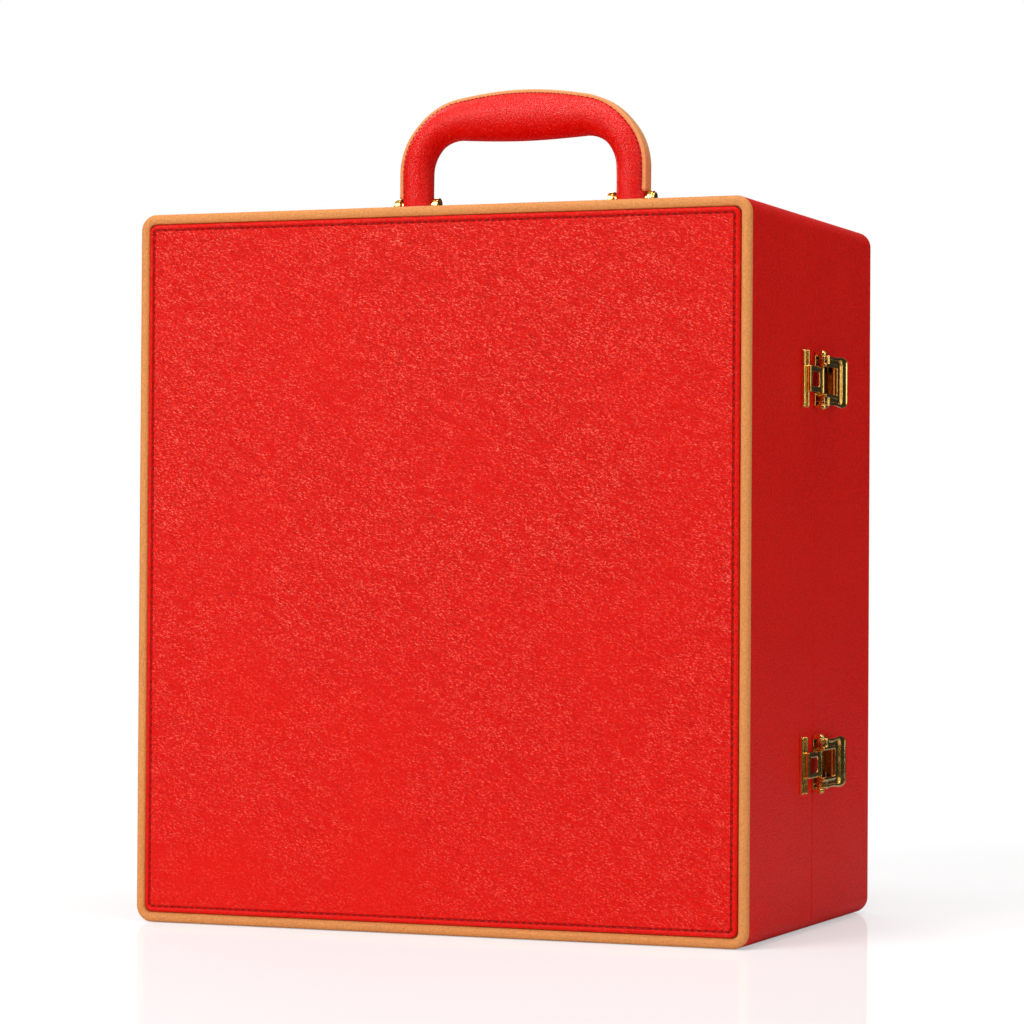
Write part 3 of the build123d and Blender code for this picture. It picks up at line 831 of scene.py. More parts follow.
GOLD = PolishedMetal(
    name="polished_gold",
    colour=(1.0, 0.70, 0.24),
    shadow=(0.88, 0.52, 0.12),
    roughness=0.08,
    edge=1.0,
)
STEEL = PolishedMetal(
    name="plain_steel",
    colour=(0.6, 0.6, 0.6),
    shadow=(0.45, 0.45, 0.46),
    roughness=0.3,
    edge=0.2,
)
LINING = PileCloth(name="lining_pile", deep=(0.30, 0.165, 0.07), body=(0.52, 0.32, 0.16))
BOARD = Board(name="pressed_board", deep=(0.24, 0.15, 0.08), body=(0.42, 0.29, 0.17))
RED_THREAD = Thread(name="red_thread", deep=(0.10, 0.002, 0.002), body=(0.26, 0.004, 0.004))
TAN_THREAD = Thread(name="tan_thread", deep=(0.32, 0.14, 0.04), body=(0.62, 0.33, 0.13))


# Mesh helpers


def finish_piece(
    name: str,
    mesh: bmesh.types.BMesh,
    finish: Finish,
    body: str,
    smooth: bool = True,
) -> bpy.types.Object:
    """Turn a mesh in the making into a piece that rides on a body.

    Args:
        name: The piece's name.
        mesh: The mesh in the making, in metres, which is freed.
        finish: Its finish.
        body: The CAD body that it moves with.
        smooth: Whether its faces are shaded smooth.

    Returns:
        The new object.
    """
    bmesh.ops.recalc_face_normals(mesh, faces=mesh.faces)
    data = bpy.data.meshes.new(name)
    for face in mesh.faces:
        face.smooth = smooth
    mesh.to_mesh(data)
    mesh.free()
    piece = bpy.data.objects.new(name, data)
    bpy.context.collection.objects.link(piece)
    data.materials.append(finish.material())
    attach(piece, body)
    log.info("%s: %d faces", name, len(data.polygons))
    return piece


def dress(finish: Finish, *nodes: str) -> None:
    """Give CAD nodes a finish.

    Args:
        finish: The finish.
        nodes: The nodes' names.
    """
    for node in nodes:
        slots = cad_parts[node].data.materials
        slots.clear()
        slots.append(finish.material())


def only(kind: type, geom: Iterable[Any]) -> list[Any]:
    """The elements of one kind, such as the vertices among what an operator made."""
    return [element for element in geom if isinstance(element, kind)]


def rounded_sheet(
    width: float, height: float, corner: float, segments: int
) -> bmesh.types.BMesh:
    """Start a mesh from one flat face with rounded corners.

    Args:
        width: Its size along X.
        height: Its size along Y.
        corner: Radius of its corners.
        segments: Edges in each corner.

    Returns:
        The mesh in the making, centred on the origin.
    """
    mesh = bmesh.new()
    # The grid's size is half its width, so this one starts as a unit square.
    bmesh.ops.create_grid(mesh, x_segments=1, y_segments=1, size=0.5)
    bmesh.ops.scale(mesh, vec=(width, height, 1), verts=mesh.verts)
    bmesh.ops.bevel(
        mesh,
        geom=mesh.verts[:],
        offset=corner,
        segments=segments,
        profile=0.5,
        affect="VERTICES",
        material=-1,
    )
    return mesh


def bulge(
    inset: float, rise: float, last: int, stride: int, fullness: float = 1.0
) -> list[Span]:
    """Steps of a profile that curves inwards along an ellipse.

    Args:
        inset: Half width of the ellipse.
        rise: Its half height, which is negative where the profile dips.
        last: Angle at which the profile ends, in degrees.
        stride: Angle of each step, in degrees.
        fullness: Power on its rise, where less than 1 makes its shoulders fuller.

    Returns:
        Inset and rise of each step.
    """
    turns = [radians(angle) for angle in range(0, last + 1, stride)]
    points = [(inset * (1 - cos(turn)), rise * sin(turn) ** fullness) for turn in turns]
    return [(b - a, top - low) for (a, low), (b, top) in zip(points, points[1:])]


def raised_shell(
    mesh: bmesh.types.BMesh, foot: float, steps: Sequence[Span]
) -> bmesh.types.BMFace:
    """Raise a one-face mesh into a shell, straight up and then by steps inwards.

    Args:
        mesh: The mesh, which holds one face.
        foot: Height of the upright wall.
        steps: Inset and rise of each step above it.

    Returns:
        The face on top.
    """
    grown = bmesh.ops.extrude_face_region(mesh, geom=mesh.faces[:])["geom"]
    painted_highlight = only(bmesh.types.BMVert, grown)
    bmesh.ops.translate(mesh, vec=(0, 0, foot), verts=painted_highlight)
    top = max(mesh.faces, key=lambda face: face.calc_center_median().z)
    for inset, rise in steps:
        bmesh.ops.inset_individual(mesh, faces=[top], thickness=inset, depth=rise)
    return top


def lay_on_face(mesh: bmesh.types.BMesh, half: Half) -> None:
    """Turn a flat mesh from millimetres into metres, onto the face of one half.

    Args:
        mesh: The mesh, centred on the origin with its back at zero.
        half: The half.
    """
    turn = Matrix.Rotation(-half.value * pi / 2, 4, "X")
    place = Matrix.Translation((0, half.value * FACE_BACK * MM, FACE_MIDDLE * MM))
    bmesh.ops.transform(mesh, matrix=place @ turn @ Matrix.Scale(MM, 4), verts=mesh.verts)


def to_metres(mesh: bmesh.types.BMesh) -> None:
    """Turn a mesh from millimetres into metres."""
    bmesh.ops.scale(mesh, vec=(MM, MM, MM), verts=mesh.verts)


def axes_at(point: Vector, x: Vector, y: Vector, z: Vector) -> Matrix:
    """Matrix with the given axes.

    Args:
        point: Where it stands.
        x: Direction of its X.
        y: Direction of its Y.
        z: Direction of its Z.

    Returns:
        The matrix.
    """
    turned = Matrix((x, y, z)).transposed().to_4x4()
    turned.translation = point
    return turned


def frame_at(point: Vector, along: Vector, up: Vector) -> Matrix:
    """Matrix whose X runs along a line and whose Z is as near as can be to up.

    Args:
        point: Where it stands.
        along: Direction of its X.
        up: Rough direction of its Z.

    Returns:
        The matrix.
    """
    x = along.normalized()
    y = up.cross(x).normalized()
    return axes_at(point, x, y, x.cross(y))


# Sewing


@dataclass(frozen=True)
class Stitching:
    """A row of stitches, with sizes in millimetres and the tilt in degrees."""

    pitch: float
    length: float
    thickness: float
    tilt: float = 6.0
    rings: int = 6
    sides: int = 8

    def sew(self, mesh: bmesh.types.BMesh, row: Sequence[Matrix]) -> None:
        """Lay one stitch at each place.

        Args:
            mesh: The mesh in the making.
            row: Places in metres, X along the row and Z out of the leather.
        """
        half = (self.length / 2 * MM, self.thickness / 2 * MM, self.thickness / 2 * MM)
        shape = Matrix.Rotation(radians(self.tilt), 4, "Z") @ Matrix.Diagonal((*half, 1.0))
        one = bmesh.new()
        bmesh.ops.create_uvsphere(
            one, u_segments=self.sides, v_segments=self.rings, radius=1.0, matrix=shape
        )
        stitch = bpy.data.meshes.new("stitch")
        one.to_mesh(stitch)
        one.free()
        for place in row:
            sewn = stitch.copy()
            sewn.transform(place)
            mesh.from_mesh(sewn)
            bpy.data.meshes.remove(sewn)
        bpy.data.meshes.remove(stitch)

    def run(self, start: Vector, end: Vector, up: Vector) -> list[Matrix]:
        """Places of the stitches on a straight line.

        Args:
            start: First end of the line, in metres.
            end: Last end of the line.
            up: Direction out of the leather.

        Returns:
            One place for each stitch.
        """
        line = end - start
        count = max(1, round(line.length / (self.pitch * MM)))
        return [
            frame_at(start + line * ((spot + MIDWAY) / count), line, up) for spot in range(count)
        ]


# The two halves


@dataclass
class FacePanel:
    """Raised leather panel of one face, with a rolled rim and a sewn channel."""

    half: Half
    width: float = PANEL_WIDTH
    height: float = PANEL_HEIGHT
    corner: float = 3.9
    corner_segments: int = 8
    rise: float = 2.8
    roll: float = 1.3
    roll_stride: int = 15
    sewn_at: float = 2.8
    channel: float = 0.6
    channel_depth: float = 0.65
    channel_stride: int = 20
    settle: float = 0.3
    stitch_sunk: float = 0.455
    stitching: Stitching = Stitching(pitch=3.5, length=2.3, thickness=0.7)

    def build(self) -> None:
        """Make the panel and sew it."""
        self.leather()
        self.stitches()

    def profile(self) -> list[Span]:
        """Steps from the outline over the rolled rim and the channel to the field.

        Returns:
            Inset and rise of each step, in millimetres.
        """
        rim = bulge(self.roll, self.roll, 90, self.roll_stride)
        flat = (self.sewn_at - self.channel - self.roll, 0.0)
        channel = bulge(self.channel, -self.channel_depth, 180, self.channel_stride)
        return [*rim, flat, *channel, (self.settle, 0.0)]

    def leather(self) -> None:
        """Build the panel's leather in place of the CAD solid."""
        mesh = rounded_sheet(self.width, self.height, self.corner, self.corner_segments)
        raised_shell(mesh, self.rise - self.roll, self.profile())
        lay_on_face(mesh, self.half)
        name = self.half.label
        piece = finish_piece(
            f"{name}_stitched_panel", mesh, PANEL_LEATHER, self.half.body
        )
        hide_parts(f"{name}_panel")

    def stitches(self) -> None:
        """Sew a row of stitches round the panel, in its channel."""
        mesh = bmesh.new()
        out = self.half.value * ACROSS_CASE
        x = self.width / 2 - self.sewn_at
        z = self.height / 2 - self.sewn_at
        sides = ((-x, -z), (x, -z), (x, z), (-x, z))
        lift = out * (FACE_BACK + self.rise - self.stitch_sunk) + UPRIGHT * FACE_MIDDLE
        corners = [(Vector((side, 0, up)) + lift) * MM for side, up in sides]
        for start, end in zip(corners, corners[1:] + corners[:1]):
            self.stitching.sew(mesh, self.stitching.run(start, end, out))
        name = f"{self.half.label}_panel_stitches"
        finish_piece(name, mesh, RED_THREAD, self.half.body)


@dataclass
class FaceWelt:
    """Soft tan welt round one face, domed between its two edges."""

    half: Half
    width: float = WELT_WIDTH
    height: float = WELT_HEIGHT
    corner: float = 8.0
    corner_segments: int = 10
    band: float = 5.0
    crown: float = 2.5
    foot: float = 0.2
    fullness: float = 0.9
    last_turn: int = 150
    stride: int = 15

    def build(self) -> None:
        """Make the welt's leather in place of the CAD solid."""
        across = self.band / (1 - cos(radians(self.last_turn)))
        rise = self.crown - self.foot
        steps = bulge(across, rise, self.last_turn, self.stride, self.fullness)
        mesh = rounded_sheet(self.width, self.height, self.corner, self.corner_segments)
        top = raised_shell(mesh, self.foot, steps)
        sole = min(mesh.faces, key=lambda face: face.calc_center_median().z)
        inner, outer = list(top.edges), list(sole.edges)
        bmesh.ops.delete(mesh, geom=[top, sole], context="FACES_ONLY")

        # The inner wall goes down to the sole, and a ring closes the sole.
        wall = bmesh.ops.extrude_edge_only(mesh, edges=inner)["geom"]
        drop = self.foot + sum(step_rise for _, step_rise in steps)
        low = only(bmesh.types.BMVert, wall)
        bmesh.ops.translate(mesh, vec=(0, 0, -drop), verts=low)
        seam = [edge for edge in only(bmesh.types.BMEdge, wall) if edge.is_boundary]
        bmesh.ops.bridge_loops(mesh, edges=outer + seam)
        lay_on_face(mesh, self.half)
        name = self.half.label
        piece = finish_piece(
            f"{name}_soft_welt", mesh, WELT_LEATHER, self.half.body
        )
        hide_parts(f"{name}_welt")


@dataclass
class BottleStrap:
    """Leather strap across the bottles of one half."""

    half: Half
    wall: float = 146.2
    tab_near: float = 34.0
    tab_far: float = 62.0
    run_end: float = 116.2
    depth: float = 6.0
    bend: float = 6.0
    bend_steps: int = 6
    height: float = 165.0
    width: float = 30.0
    thickness: float = 2.0
    edge_round: float = 0.5
    edge_segments: int = 3
    stitch_inset: float = 2.6
    stitch_end: float = 4.0
    stitching: Stitching = Stitching(pitch=3.0, length=2.2, thickness=0.5)

    def build(self) -> None:
        """Make the strap and sew both its edges."""
        self.leather()
        self.stitches()

    def line(self) -> list[Vector]:
        """Middle line of the strap, with rounded bends, in millimetres.

        Returns:
            Its points from the left tab to the right tab.
        """
        right = ((self.run_end, self.depth), (self.wall, self.tab_near), (self.wall, self.tab_far))
        left = [(-x, deep) for x, deep in reversed(right)]
        turns = [Vector((x, self.half.value * deep, self.height)) for x, deep in (*left, *right)]
        points = [turns[0]]
        for before, corner, after in zip(turns, turns[1:], turns[2:]):
            points += self.rounded(before, corner, after)
        points.append(turns[-1])
        return points

    def rounded(self, before: Vector, corner: Vector, after: Vector) -> list[Vector]:
        """Points of one rounded bend.

        Args:
            before: The point before the bend.
            corner: The bend's sharp corner.
            after: The point after the bend.

        Returns:
            Points on its arc.
        """
        into, out = (before - corner).normalized(), (after - corner).normalized()
        half_angle = into.angle(out) / 2
        reach = self.bend * cos(half_angle) / sin(half_angle)
        centre = corner + (into + out).normalized() * (self.bend / sin(half_angle))
        first, last = corner + into * reach - centre, corner + out * reach - centre
        steps = self.bend_steps
        return [centre + first.slerp(last, step / steps) for step in range(steps + 1)]

    def leather(self) -> None:
        """Sweep the strap's rounded section along its line."""
        line = self.line()
        mesh = rounded_sheet(self.thickness, self.width, self.edge_round, self.edge_segments)
        sweep(mesh, [section_at(line, spot) for spot in range(len(line))])
        to_metres(mesh)
        name = self.half.label
        piece = finish_piece(
            f"{name}_bottle_strap",
            mesh,
            BAND_LEATHER,
            self.half.body,
            smooth=False,
        )
        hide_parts(f"{name}_strap")

    def stitches(self) -> None:
        """Sew a row of stitches along both edges, on the side that shows."""
        mesh = bmesh.new()
        out = -self.half.value * ACROSS_CASE
        deep = self.half.value * (self.depth - self.thickness / 2)
        edge = self.width / 2 - self.stitch_inset
        reach = self.run_end - self.stitch_end
        for row in (-edge, edge):
            start, end = (Vector((x, deep, self.height + row)) * MM for x in (-reach, reach))
            self.stitching.sew(mesh, self.stitching.run(start, end, out))
        name = f"{self.half.label}_strap_stitches"
        finish_piece(name, mesh, TAN_THREAD, self.half.body)


def section_at(line: Sequence[Vector], spot: int) -> Matrix:
    """Place of a flat section on a level line, its Y upright.

    Args:
        line: Points of the line.
        spot: Which point.

    Returns:
        Matrix that turns a section drawn in X and Y to stand across the line.
    """
    ahead = line[min(spot + 1, len(line) - 1)] - line[max(spot - 1, 0)]
    out = UPRIGHT.cross(ahead).normalized()
    return axes_at(line[spot], out, UPRIGHT, ahead.normalized())


def sweep(mesh: bmesh.types.BMesh, places: Sequence[Matrix]) -> None:
    """Extrude the only face of a mesh through a row of places.

    Args:
        mesh: A mesh that holds one face, drawn about the origin.
        places: Where the face stands, one after the other.
    """
    bmesh.ops.transform(mesh, matrix=places[0], verts=mesh.verts)
    last = mesh.faces[:]
    # The copy stays behind and closes the first end.
    bmesh.ops.duplicate(mesh, geom=last)
    for before, after in zip(places, places[1:]):
        grown = bmesh.ops.extrude_face_region(mesh, geom=last)["geom"]
        bmesh.ops.delete(mesh, geom=last, context="FACES_ONLY")
        corners = only(bmesh.types.BMVert, grown)
        last = only(bmesh.types.BMFace, grown)
        bmesh.ops.transform(mesh, matrix=after @ before.inverted(), verts=corners)
    bmesh.ops.remove_doubles(mesh, verts=mesh.verts, dist=SAME_PLACE)


@dataclass
class CaseHalf:
    """One half of the case: walls, welt, panel, lining and what holds the bottles."""

    half: Half
    walls: tuple[str, ...] = ("top", "bottom", "hinge", "latch", "face")

    def build(self) -> None:
        """Dress the CAD nodes and make the soft pieces."""
        name = self.half.label
        dress(SIDE_LEATHER, f"{name}_side_leather")
        dress(LINING, f"{name}_lining", f"{name}_bottle_cradle", f"{name}_neck_rest")
        dress(GOLD, f"{name}_strap_studs")
        dress(BOARD, *(f"{name}_{wall}_board" for wall in self.walls))
        if self.half is Half.BACK:
            dress(SIDE_LEATHER, "alignment_tongue")
        FacePanel(self.half).build()
        FaceWelt(self.half).build()
        BottleStrap(self.half).build()
        log.info("%s half dressed", name)


# The handle


@dataclass
class CarryingHandle:
    """Padded handle on two pins, with a tan band sewn along its outside.

    Sizes are in millimetres and the tilt is in degrees. A leg, its top and the middle are
    each given by half their thickness and half their depth.
    """

    leg_x: float = 58.45
    y: float = 15.0
    foot: float = 356.1
    bend_start: float = 378.3
    bend_radius: float = 27.0
    tilt: float = 3.5
    leg: Span = (8.0, 7.2)
    leg_top: Span = (8.0, 8.2)
    middle: Span = (12.5, 12.0)
    swelling: float = 1.2
    fill: float = 0.9
    dents: tuple[Span, ...] = ((0.09, 0.16), (0.4, 0.05))
    sole_inset: float = 0.8
    sole_drop: float = 0.5
    band_width: float = 8.5
    band_end: float = 365.8
    band_rise: float = 0.9
    band_sunk: float = 1.4
    band_round: float = 0.6
    band_segments: int = 4
    seam_gap: float = 0.7
    seam_lift: float = 0.05
    rings: int = 120
    sides: int = 56
    stitching: Stitching = Stitching(pitch=2.1, length=1.6, thickness=0.6)
    crown_radius: float = field(init=False)
    leg_length: float = field(init=False)
    bend_length: float = field(init=False)
    half_length: float = field(init=False)

    def __post_init__(self) -> None:
        """Work out the lengths of the middle line's runs."""
        shoulder_x = self.leg_x - self.bend_radius * (1 - sin(radians(self.tilt)))
        self.crown_radius = shoulder_x / sin(radians(self.tilt))
        self.leg_length = self.bend_start - self.foot
        self.bend_length = self.bend_radius * radians(90 - self.tilt)
        crown_length = self.crown_radius * radians(self.tilt)
        self.half_length = self.leg_length + self.bend_length + crown_length

    def build(self) -> None:
        """Dress the metal, and make the grip, its band and its seams."""
        dress(STEEL, "handle_core")
        for side in Side:
            dress(GOLD, f"{side.value}_handle_bracket", f"{side.value}_handle_pin")
        dress(GOLD, "handle_bracket_screws")
        self.grip()
        self.band()
        self.seams()
        log.info("handle dressed")

    def station(self, distance: float) -> tuple[Vector, Vector]:
        """Point of the middle line and its direction.

        Args:
            distance: Distance from the left foot along the line, in millimetres.

        Returns:
            The point and the direction.
        """
        mirrored = distance > self.half_length
        run = 2 * self.half_length - distance if mirrored else distance
        if run < self.leg_length:
            point, turn = (-self.leg_x, self.foot + run), pi / 2
        elif run < self.leg_length + self.bend_length:
            angle = (run - self.leg_length) / self.bend_radius
            x = -self.leg_x + self.bend_radius * (1 - cos(angle))
            point, turn = (x, self.bend_start + self.bend_radius * sin(angle)), pi / 2 - angle
        else:
            left = (self.half_length - run) / self.crown_radius
            top = self.bend_start + self.bend_radius * cos(radians(self.tilt))
            top += self.crown_radius * (1 - cos(radians(self.tilt)))
            x = -self.crown_radius * sin(left)
            point, turn = (x, top - self.crown_radius * (1 - cos(left))), left
        side = -1 if mirrored else 1
        place = Vector((side * point[0], self.y, point[1]))
        return place, Vector((cos(turn), 0, side * sin(turn)))

    def size(self, distance: float) -> Span:
        """Half thickness and half depth of the grip.

        Args:
            distance: Distance from the left foot along the line, in millimetres.

        Returns:
            Both halves in millimetres.
        """
        run = min(distance, 2 * self.half_length - distance)
        if run <= self.leg_length:
            small, large = self.leg, self.leg_top
            shares = [run / self.leg_length] * 2
        else:
            # The depth swells from the leg's top on, the thickness from halfway round the bend.
            small, large = self.leg_top, self.middle
            starts = (self.leg_length + self.bend_length / 2, self.leg_length)
            swollen = [max(0.0, run - start) / (self.half_length - start) for start in starts]
            shares = [sin(share * pi / 2) ** self.swelling for share in swollen]
        thickness, depth = (
            least + (most - least) * share for least, most, share in zip(small, large, shares)
        )
        return thickness, depth

    def section(self, distance: float, swell: float = 0.0) -> Matrix:
        """Matrix that turns a unit circle into the grip's section.

        Args:
            distance: Distance from the left foot along the line, in millimetres.
            swell: How much larger the section is, in millimetres.

        Returns:
            The matrix, in millimetres.
        """
        point, along = self.station(distance)
        thickness, depth = self.size(distance)
        turned = axes_at(point, along.cross(ACROSS_CASE), ACROSS_CASE, along)
        return turned @ Matrix.Diagonal((thickness + swell, depth + swell, 1.0, 1.0))

    def spots(self, first: float) -> list[float]:
        """Distances of the rings along the middle line.

        Args:
            first: Distance of the first ring, in millimetres, as the last one's from the end.

        Returns:
            The distances from the left foot, in millimetres.
        """
        length = 2 * (self.half_length - first)
        return [first + length * step / self.rings for step in range(self.rings + 1)]

    def grip(self) -> None:
        """Loft the padded grip through its sections and ease its two feet."""
        mesh = bmesh.new()
        loops: list[list[bmesh.types.BMEdge]] = []
        for spot in self.spots(0.0):
            ring = bmesh.ops.create_circle(
                mesh, segments=self.sides, radius=1.0, matrix=self.section(spot)
            )["verts"]
            loops.append(list({edge for vert in ring for edge in vert.link_edges}))
        for before, after in zip(loops, loops[1:]):
            bmesh.ops.bridge_loops(mesh, edges=before + after)
        for vert in mesh.verts:
            dent = sum(noise.noise(vert.co * pace) * reach for pace, reach in self.dents)
            vert.co += Vector((0, vert.co.y - self.y, 0)).normalized() * dent
        for end in (loops[0], loops[-1]):
            sole = bmesh.ops.contextual_create(mesh, geom=end)["faces"]
            bmesh.ops.inset_individual(
                mesh, faces=sole, thickness=self.sole_inset, depth=self.sole_drop
            )
        to_metres(mesh)
        piece = finish_piece(
            "padded_grip", mesh, GRIP_LEATHER, "handle"
        )
        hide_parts("handle_grip")

    def band(self) -> None:
        """Lay the tan band along the outside of the grip."""
        thickness = self.band_rise + self.band_sunk
        places = []
        for spot in self.spots(self.band_end - self.foot):
            point, along = self.station(spot)
            outward = along.cross(ACROSS_CASE)
            lift = self.size(spot)[0] + self.band_rise - thickness / 2
            places.append(axes_at(point + outward * lift, outward, ACROSS_CASE, along))
        mesh = rounded_sheet(thickness, self.band_width, self.band_round, self.band_segments)
        sweep(mesh, places)
        to_metres(mesh)
        piece = finish_piece("sewn_band", mesh, BAND_LEATHER, "handle")
        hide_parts("handle_band")

    def seams(self) -> None:
        """Sew the leather along both edges of the band."""
        mesh = bmesh.new()
        beside = self.band_width / 2 + self.seam_gap
        start = self.band_end - self.foot
        length = 2 * (self.half_length - start)
        count = round(length / self.stitching.pitch)
        for row in (-beside, beside):
            places = []
            for spot in range(count):
                distance = start + length * (spot + MIDWAY) / count
                section = self.section(distance, self.seam_lift)
                angle = asin(row / self.size(distance)[1])
                point = section @ Vector((cos(angle), sin(angle), 0))
                along = self.station(distance)[1]
                places.append(frame_at(point * MM, along, point - section.translation))
            self.stitching.sew(mesh, places)
        finish_piece("grip_seams", mesh, RED_THREAD, "handle")


# The metal fittings


@dataclass
class Fittings:
    """Hinges and draw latches."""

    hinge: tuple[str, ...] = ("hinge_lid_leaf", "hinge_case_leaf", "hinge_pin")
    latch: tuple[str, ...] = (
        "latch_base",
        "latch_lever",
        "latch_link",
        "latch_keeper",
        "latch_lever_pins",
        "latch_link_pin",
    )
    screws: tuple[str, ...] = (
        "hinge_lid_screws",
        "hinge_case_screws",
        "latch_keeper_screws",
        "latch_base_screws",
    )

    def build(self) -> None:
        """Dress every metal node of the hinges and latches."""
        for level in Level:
            dress(GOLD, *(f"{level.value}_{piece}" for piece in self.hinge + self.latch))
        dress(GOLD, *self.screws)
        log.info("hinges and latches dressed")


# Camera, light and floor


@dataclass(frozen=True)
class Lamp:
    """A soft rectangular white lamp, with lengths in metres and its power in watts."""

    name: str
    place: Triple
    aim: Triple
    width: float
    height: float
    power: float

    def build(self) -> None:
        """Hang the lamp and turn it to its aim."""
        data = bpy.data.lights.new(self.name, "AREA")
        data.shape = "RECTANGLE"
        data.size, data.size_y = self.width, self.height
        data.energy = self.power
        lamp = bpy.data.objects.new(self.name, data)
        bpy.context.collection.objects.link(lamp)
        place, aim = Vector(self.place), Vector(self.aim)
        turn = (place - aim).to_track_quat("Z", "Y")
        lamp.matrix_world = Matrix.Translation(place) @ turn.to_matrix().to_4x4()


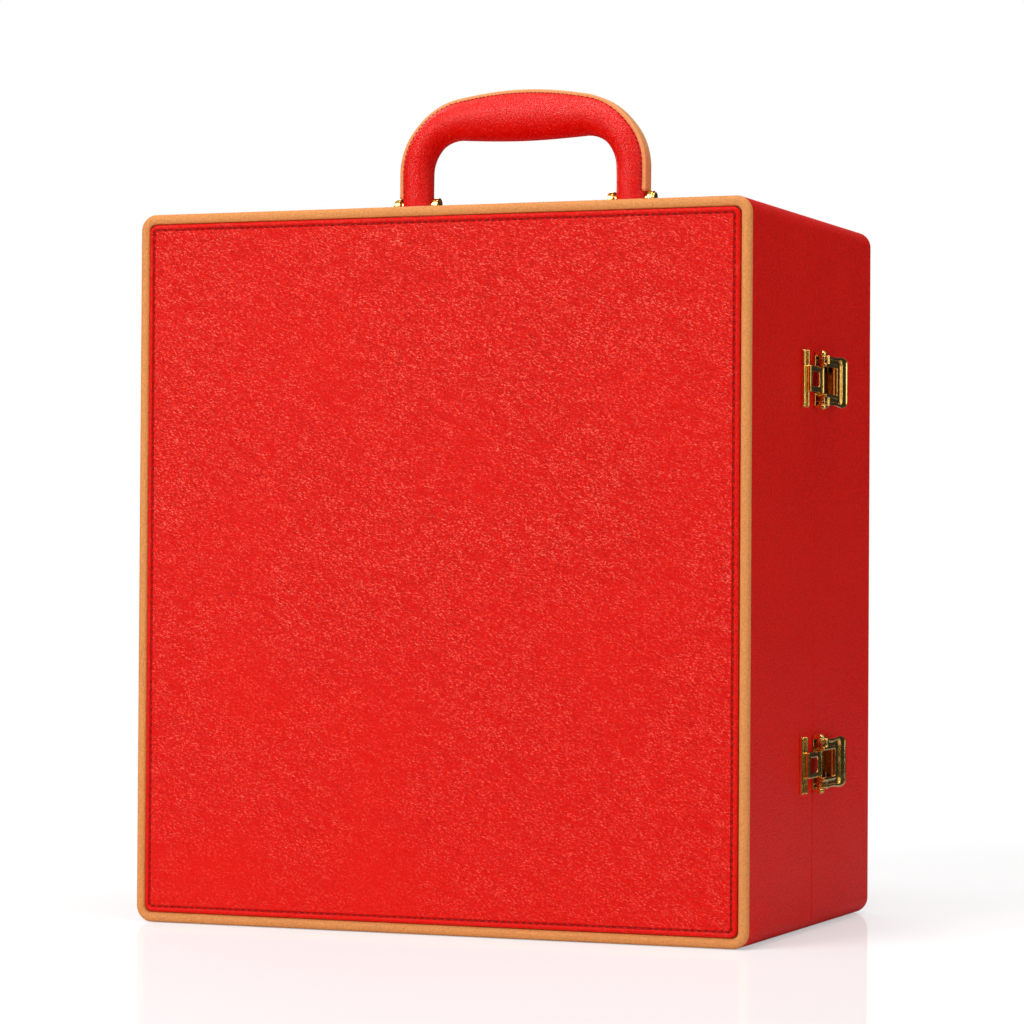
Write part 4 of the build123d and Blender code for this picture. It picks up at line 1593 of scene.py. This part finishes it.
@dataclass
class Studio:
    """The photograph's camera, soft lamps and a pale floor that mirrors faintly.

    Lengths are in metres, apart from the lens and the sensor, and angles in degrees.
    """

    lens: float = 125.93
    sensor: float = 36.0
    clip: Span = (0.05, 100.0)
    place: Triple = (0.67053, -1.68175, 0.177885)
    yaw: float = 21.727
    pitch: float = 0.834
    roll: float = 0.3524
    ambient: float = 0.34
    room: float = 0.03
    backdrop_angle: float = 22.0
    backdrop_full: float = 0.999
    ceiling: float = 0.45
    ceiling_span: Span = (0.2, 0.7)
    floor_reach: float = 30.0
    floor_drop: float = 0.0002
    floor_span: Span = (0.45, 1.3)
    mirror: float = 0.19
    mirror_roughness: float = 0.04
    shine: float = 0.54
    pale: float = 0.8
    faint: float = 0.45
    lamps: tuple[Lamp, ...] = (
        Lamp("key_lamp", (-1.1, -2.3, 1.5), (0.0, -0.1, 0.2), 1.6, 1.6, 58.0),
        Lamp("side_lamp", (2.3, -0.35, 0.6), (0.15, 0.0, 0.2), 1.2, 1.8, 12.0),
        Lamp("top_lamp", (0.2, -0.4, 2.1), (0.0, 0.0, 0.35), 1.2, 0.8, 24.0),
        Lamp("back_lamp", (-1.5, 2.2, 1.4), (0.0, 0.1, 0.2), 1.6, 1.6, 30.0),
    )

    def build(self) -> None:
        """Set up everything round the case."""
        self.camera()
        self.world()
        self.floor()
        for lamp in self.lamps:
            lamp.build()
        bpy.context.scene.view_settings.view_transform = "Standard"
        log.info("studio ready")

    def camera(self) -> None:
        """Put the camera where the photograph was taken."""
        yaw, pitch, roll = radians(self.yaw), radians(self.pitch), radians(self.roll)
        ahead = Vector((-sin(yaw) * cos(pitch), cos(yaw) * cos(pitch), sin(pitch)))
        right = Vector((cos(yaw), sin(yaw), 0))
        up = right.cross(ahead)
        tilted_right = cos(roll) * right + sin(roll) * up
        tilted_up = cos(roll) * up - sin(roll) * right
        data = bpy.data.cameras.new("photo_camera")
        data.sensor_width = self.sensor
        data.lens = self.lens
        data.clip_start, data.clip_end = self.clip
        camera = bpy.data.objects.new("photo_camera", data)
        bpy.context.collection.objects.link(camera)
        camera.matrix_world = axes_at(Vector(self.place), tilted_right, tilted_up, -ahead)
        bpy.context.scene.camera = camera

    @staticmethod
    def rays(sheet: NodeSheet) -> tuple[Signal, Signal]:
        """Whether a ray comes straight from the camera, and whether it is a mirrored one.

        Args:
            sheet: The sheet that carries the nodes.

        Returns:
            Two numbers, each 0 or 1.
        """
        path = sheet.node("ShaderNodeLightPath").outputs
        straight = Signal(sheet, path["Is Camera Ray"])
        mirrored = Signal(sheet, path["Is Glossy Ray"])
        return straight, mirrored.larger(Signal(sheet, path["Is Transmission Ray"]))

    def world(self) -> None:
        """White background, a bright ceiling and a dim room, and a soft plain light."""
        world = bpy.data.worlds.new("studio_world")
        world.use_nodes = True
        bpy.context.scene.world = world
        sheet = NodeSheet(world.node_tree)
        straight, mirrored = self.rays(sheet)
        x, y, z = sheet.axes(sheet.node("ShaderNodeTexCoord").outputs["Generated"])
        turn = radians(self.yaw)
        ahead = cos(turn) * y - sin(turn) * x
        backdrop = ahead.step(cos(radians(self.backdrop_angle)), self.backdrop_full)
        ceiling = self.ceiling * z.step(*self.ceiling_span)
        room = self.room + (1 - self.room) * backdrop.larger(ceiling)
        soft = self.ambient * (1 - straight) * (1 - mirrored)
        strength = straight + room * mirrored * (1 - straight) + soft
        sockets = {"Color": WHITE, "Strength": strength}
        sheet.surface("ShaderNodeBackground", sockets, "ShaderNodeOutputWorld")

    def floor(self) -> None:
        """Lay a wide pale floor just under the case."""
        mesh = bmesh.new()
        bmesh.ops.create_grid(mesh, x_segments=1, y_segments=1, size=self.floor_reach)
        bmesh.ops.translate(mesh, vec=(0, 0, -self.floor_drop), verts=mesh.verts)
        data = bpy.data.meshes.new("floor")
        mesh.to_mesh(data)
        mesh.free()
        data.materials.append(self.floor_finish())
        floor = bpy.data.objects.new("floor", data)
        bpy.context.collection.objects.link(floor)

    def floor_finish(self) -> bpy.types.Material:
        """Make the floor's finish, which keeps the shadow and mirrors the case faintly.

        Returns:
            The material, which turns into the white background away from the case.
        """
        finish = bpy.data.materials.new("pale_floor")
        finish.use_nodes = True
        sheet = NodeSheet(finish.node_tree)
        straight, mirrored = self.rays(sheet)
        seen = straight.larger(mirrored)
        x, y, _ = sheet.axes(sheet.node("ShaderNodeTexCoord").outputs["Object"])
        away = ((x * x + y * y) ** 0.5).step(*self.floor_span)

        def shader(kind: str, sockets: dict[Any, Any]) -> bpy.types.NodeSocket:
            """Add a shader and take what it gives."""
            return sheet.node(kind, None, sockets).outputs[0]

        grey = self.pale - (self.pale - self.faint) * seen
        matt = shader("ShaderNodeBsdfDiffuse", {"Color": grey})
        glow = shader("ShaderNodeEmission", {"Color": WHITE, "Strength": straight * self.shine})
        lit = shader("ShaderNodeAddShader", {0: matt, 1: glow})
        polish = {"Color": WHITE, "Roughness": self.mirror_roughness}
        gloss = shader("ShaderNodeBsdfGlossy", polish)
        near = shader("ShaderNodeMixShader", {0: self.mirror, 1: lit, 2: gloss})
        distant = straight + self.room * (1 - straight)
        backdrop = shader("ShaderNodeEmission", {"Color": WHITE, "Strength": distant})
        blended = {0: seen * away, 1: near, 2: backdrop}
        sheet.surface("ShaderNodeMixShader", blended, "ShaderNodeOutputMaterial")
        return finish


# Order of work


def main() -> None:
    """Dress the case and set up the studio."""
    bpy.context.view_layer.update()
    for half in Half:
        CaseHalf(half).build()
    CarryingHandle().build()
    Fittings().build()
    Studio().build()


if __name__ == "__main__":
    logging.basicConfig(level=logging.INFO)
    main()
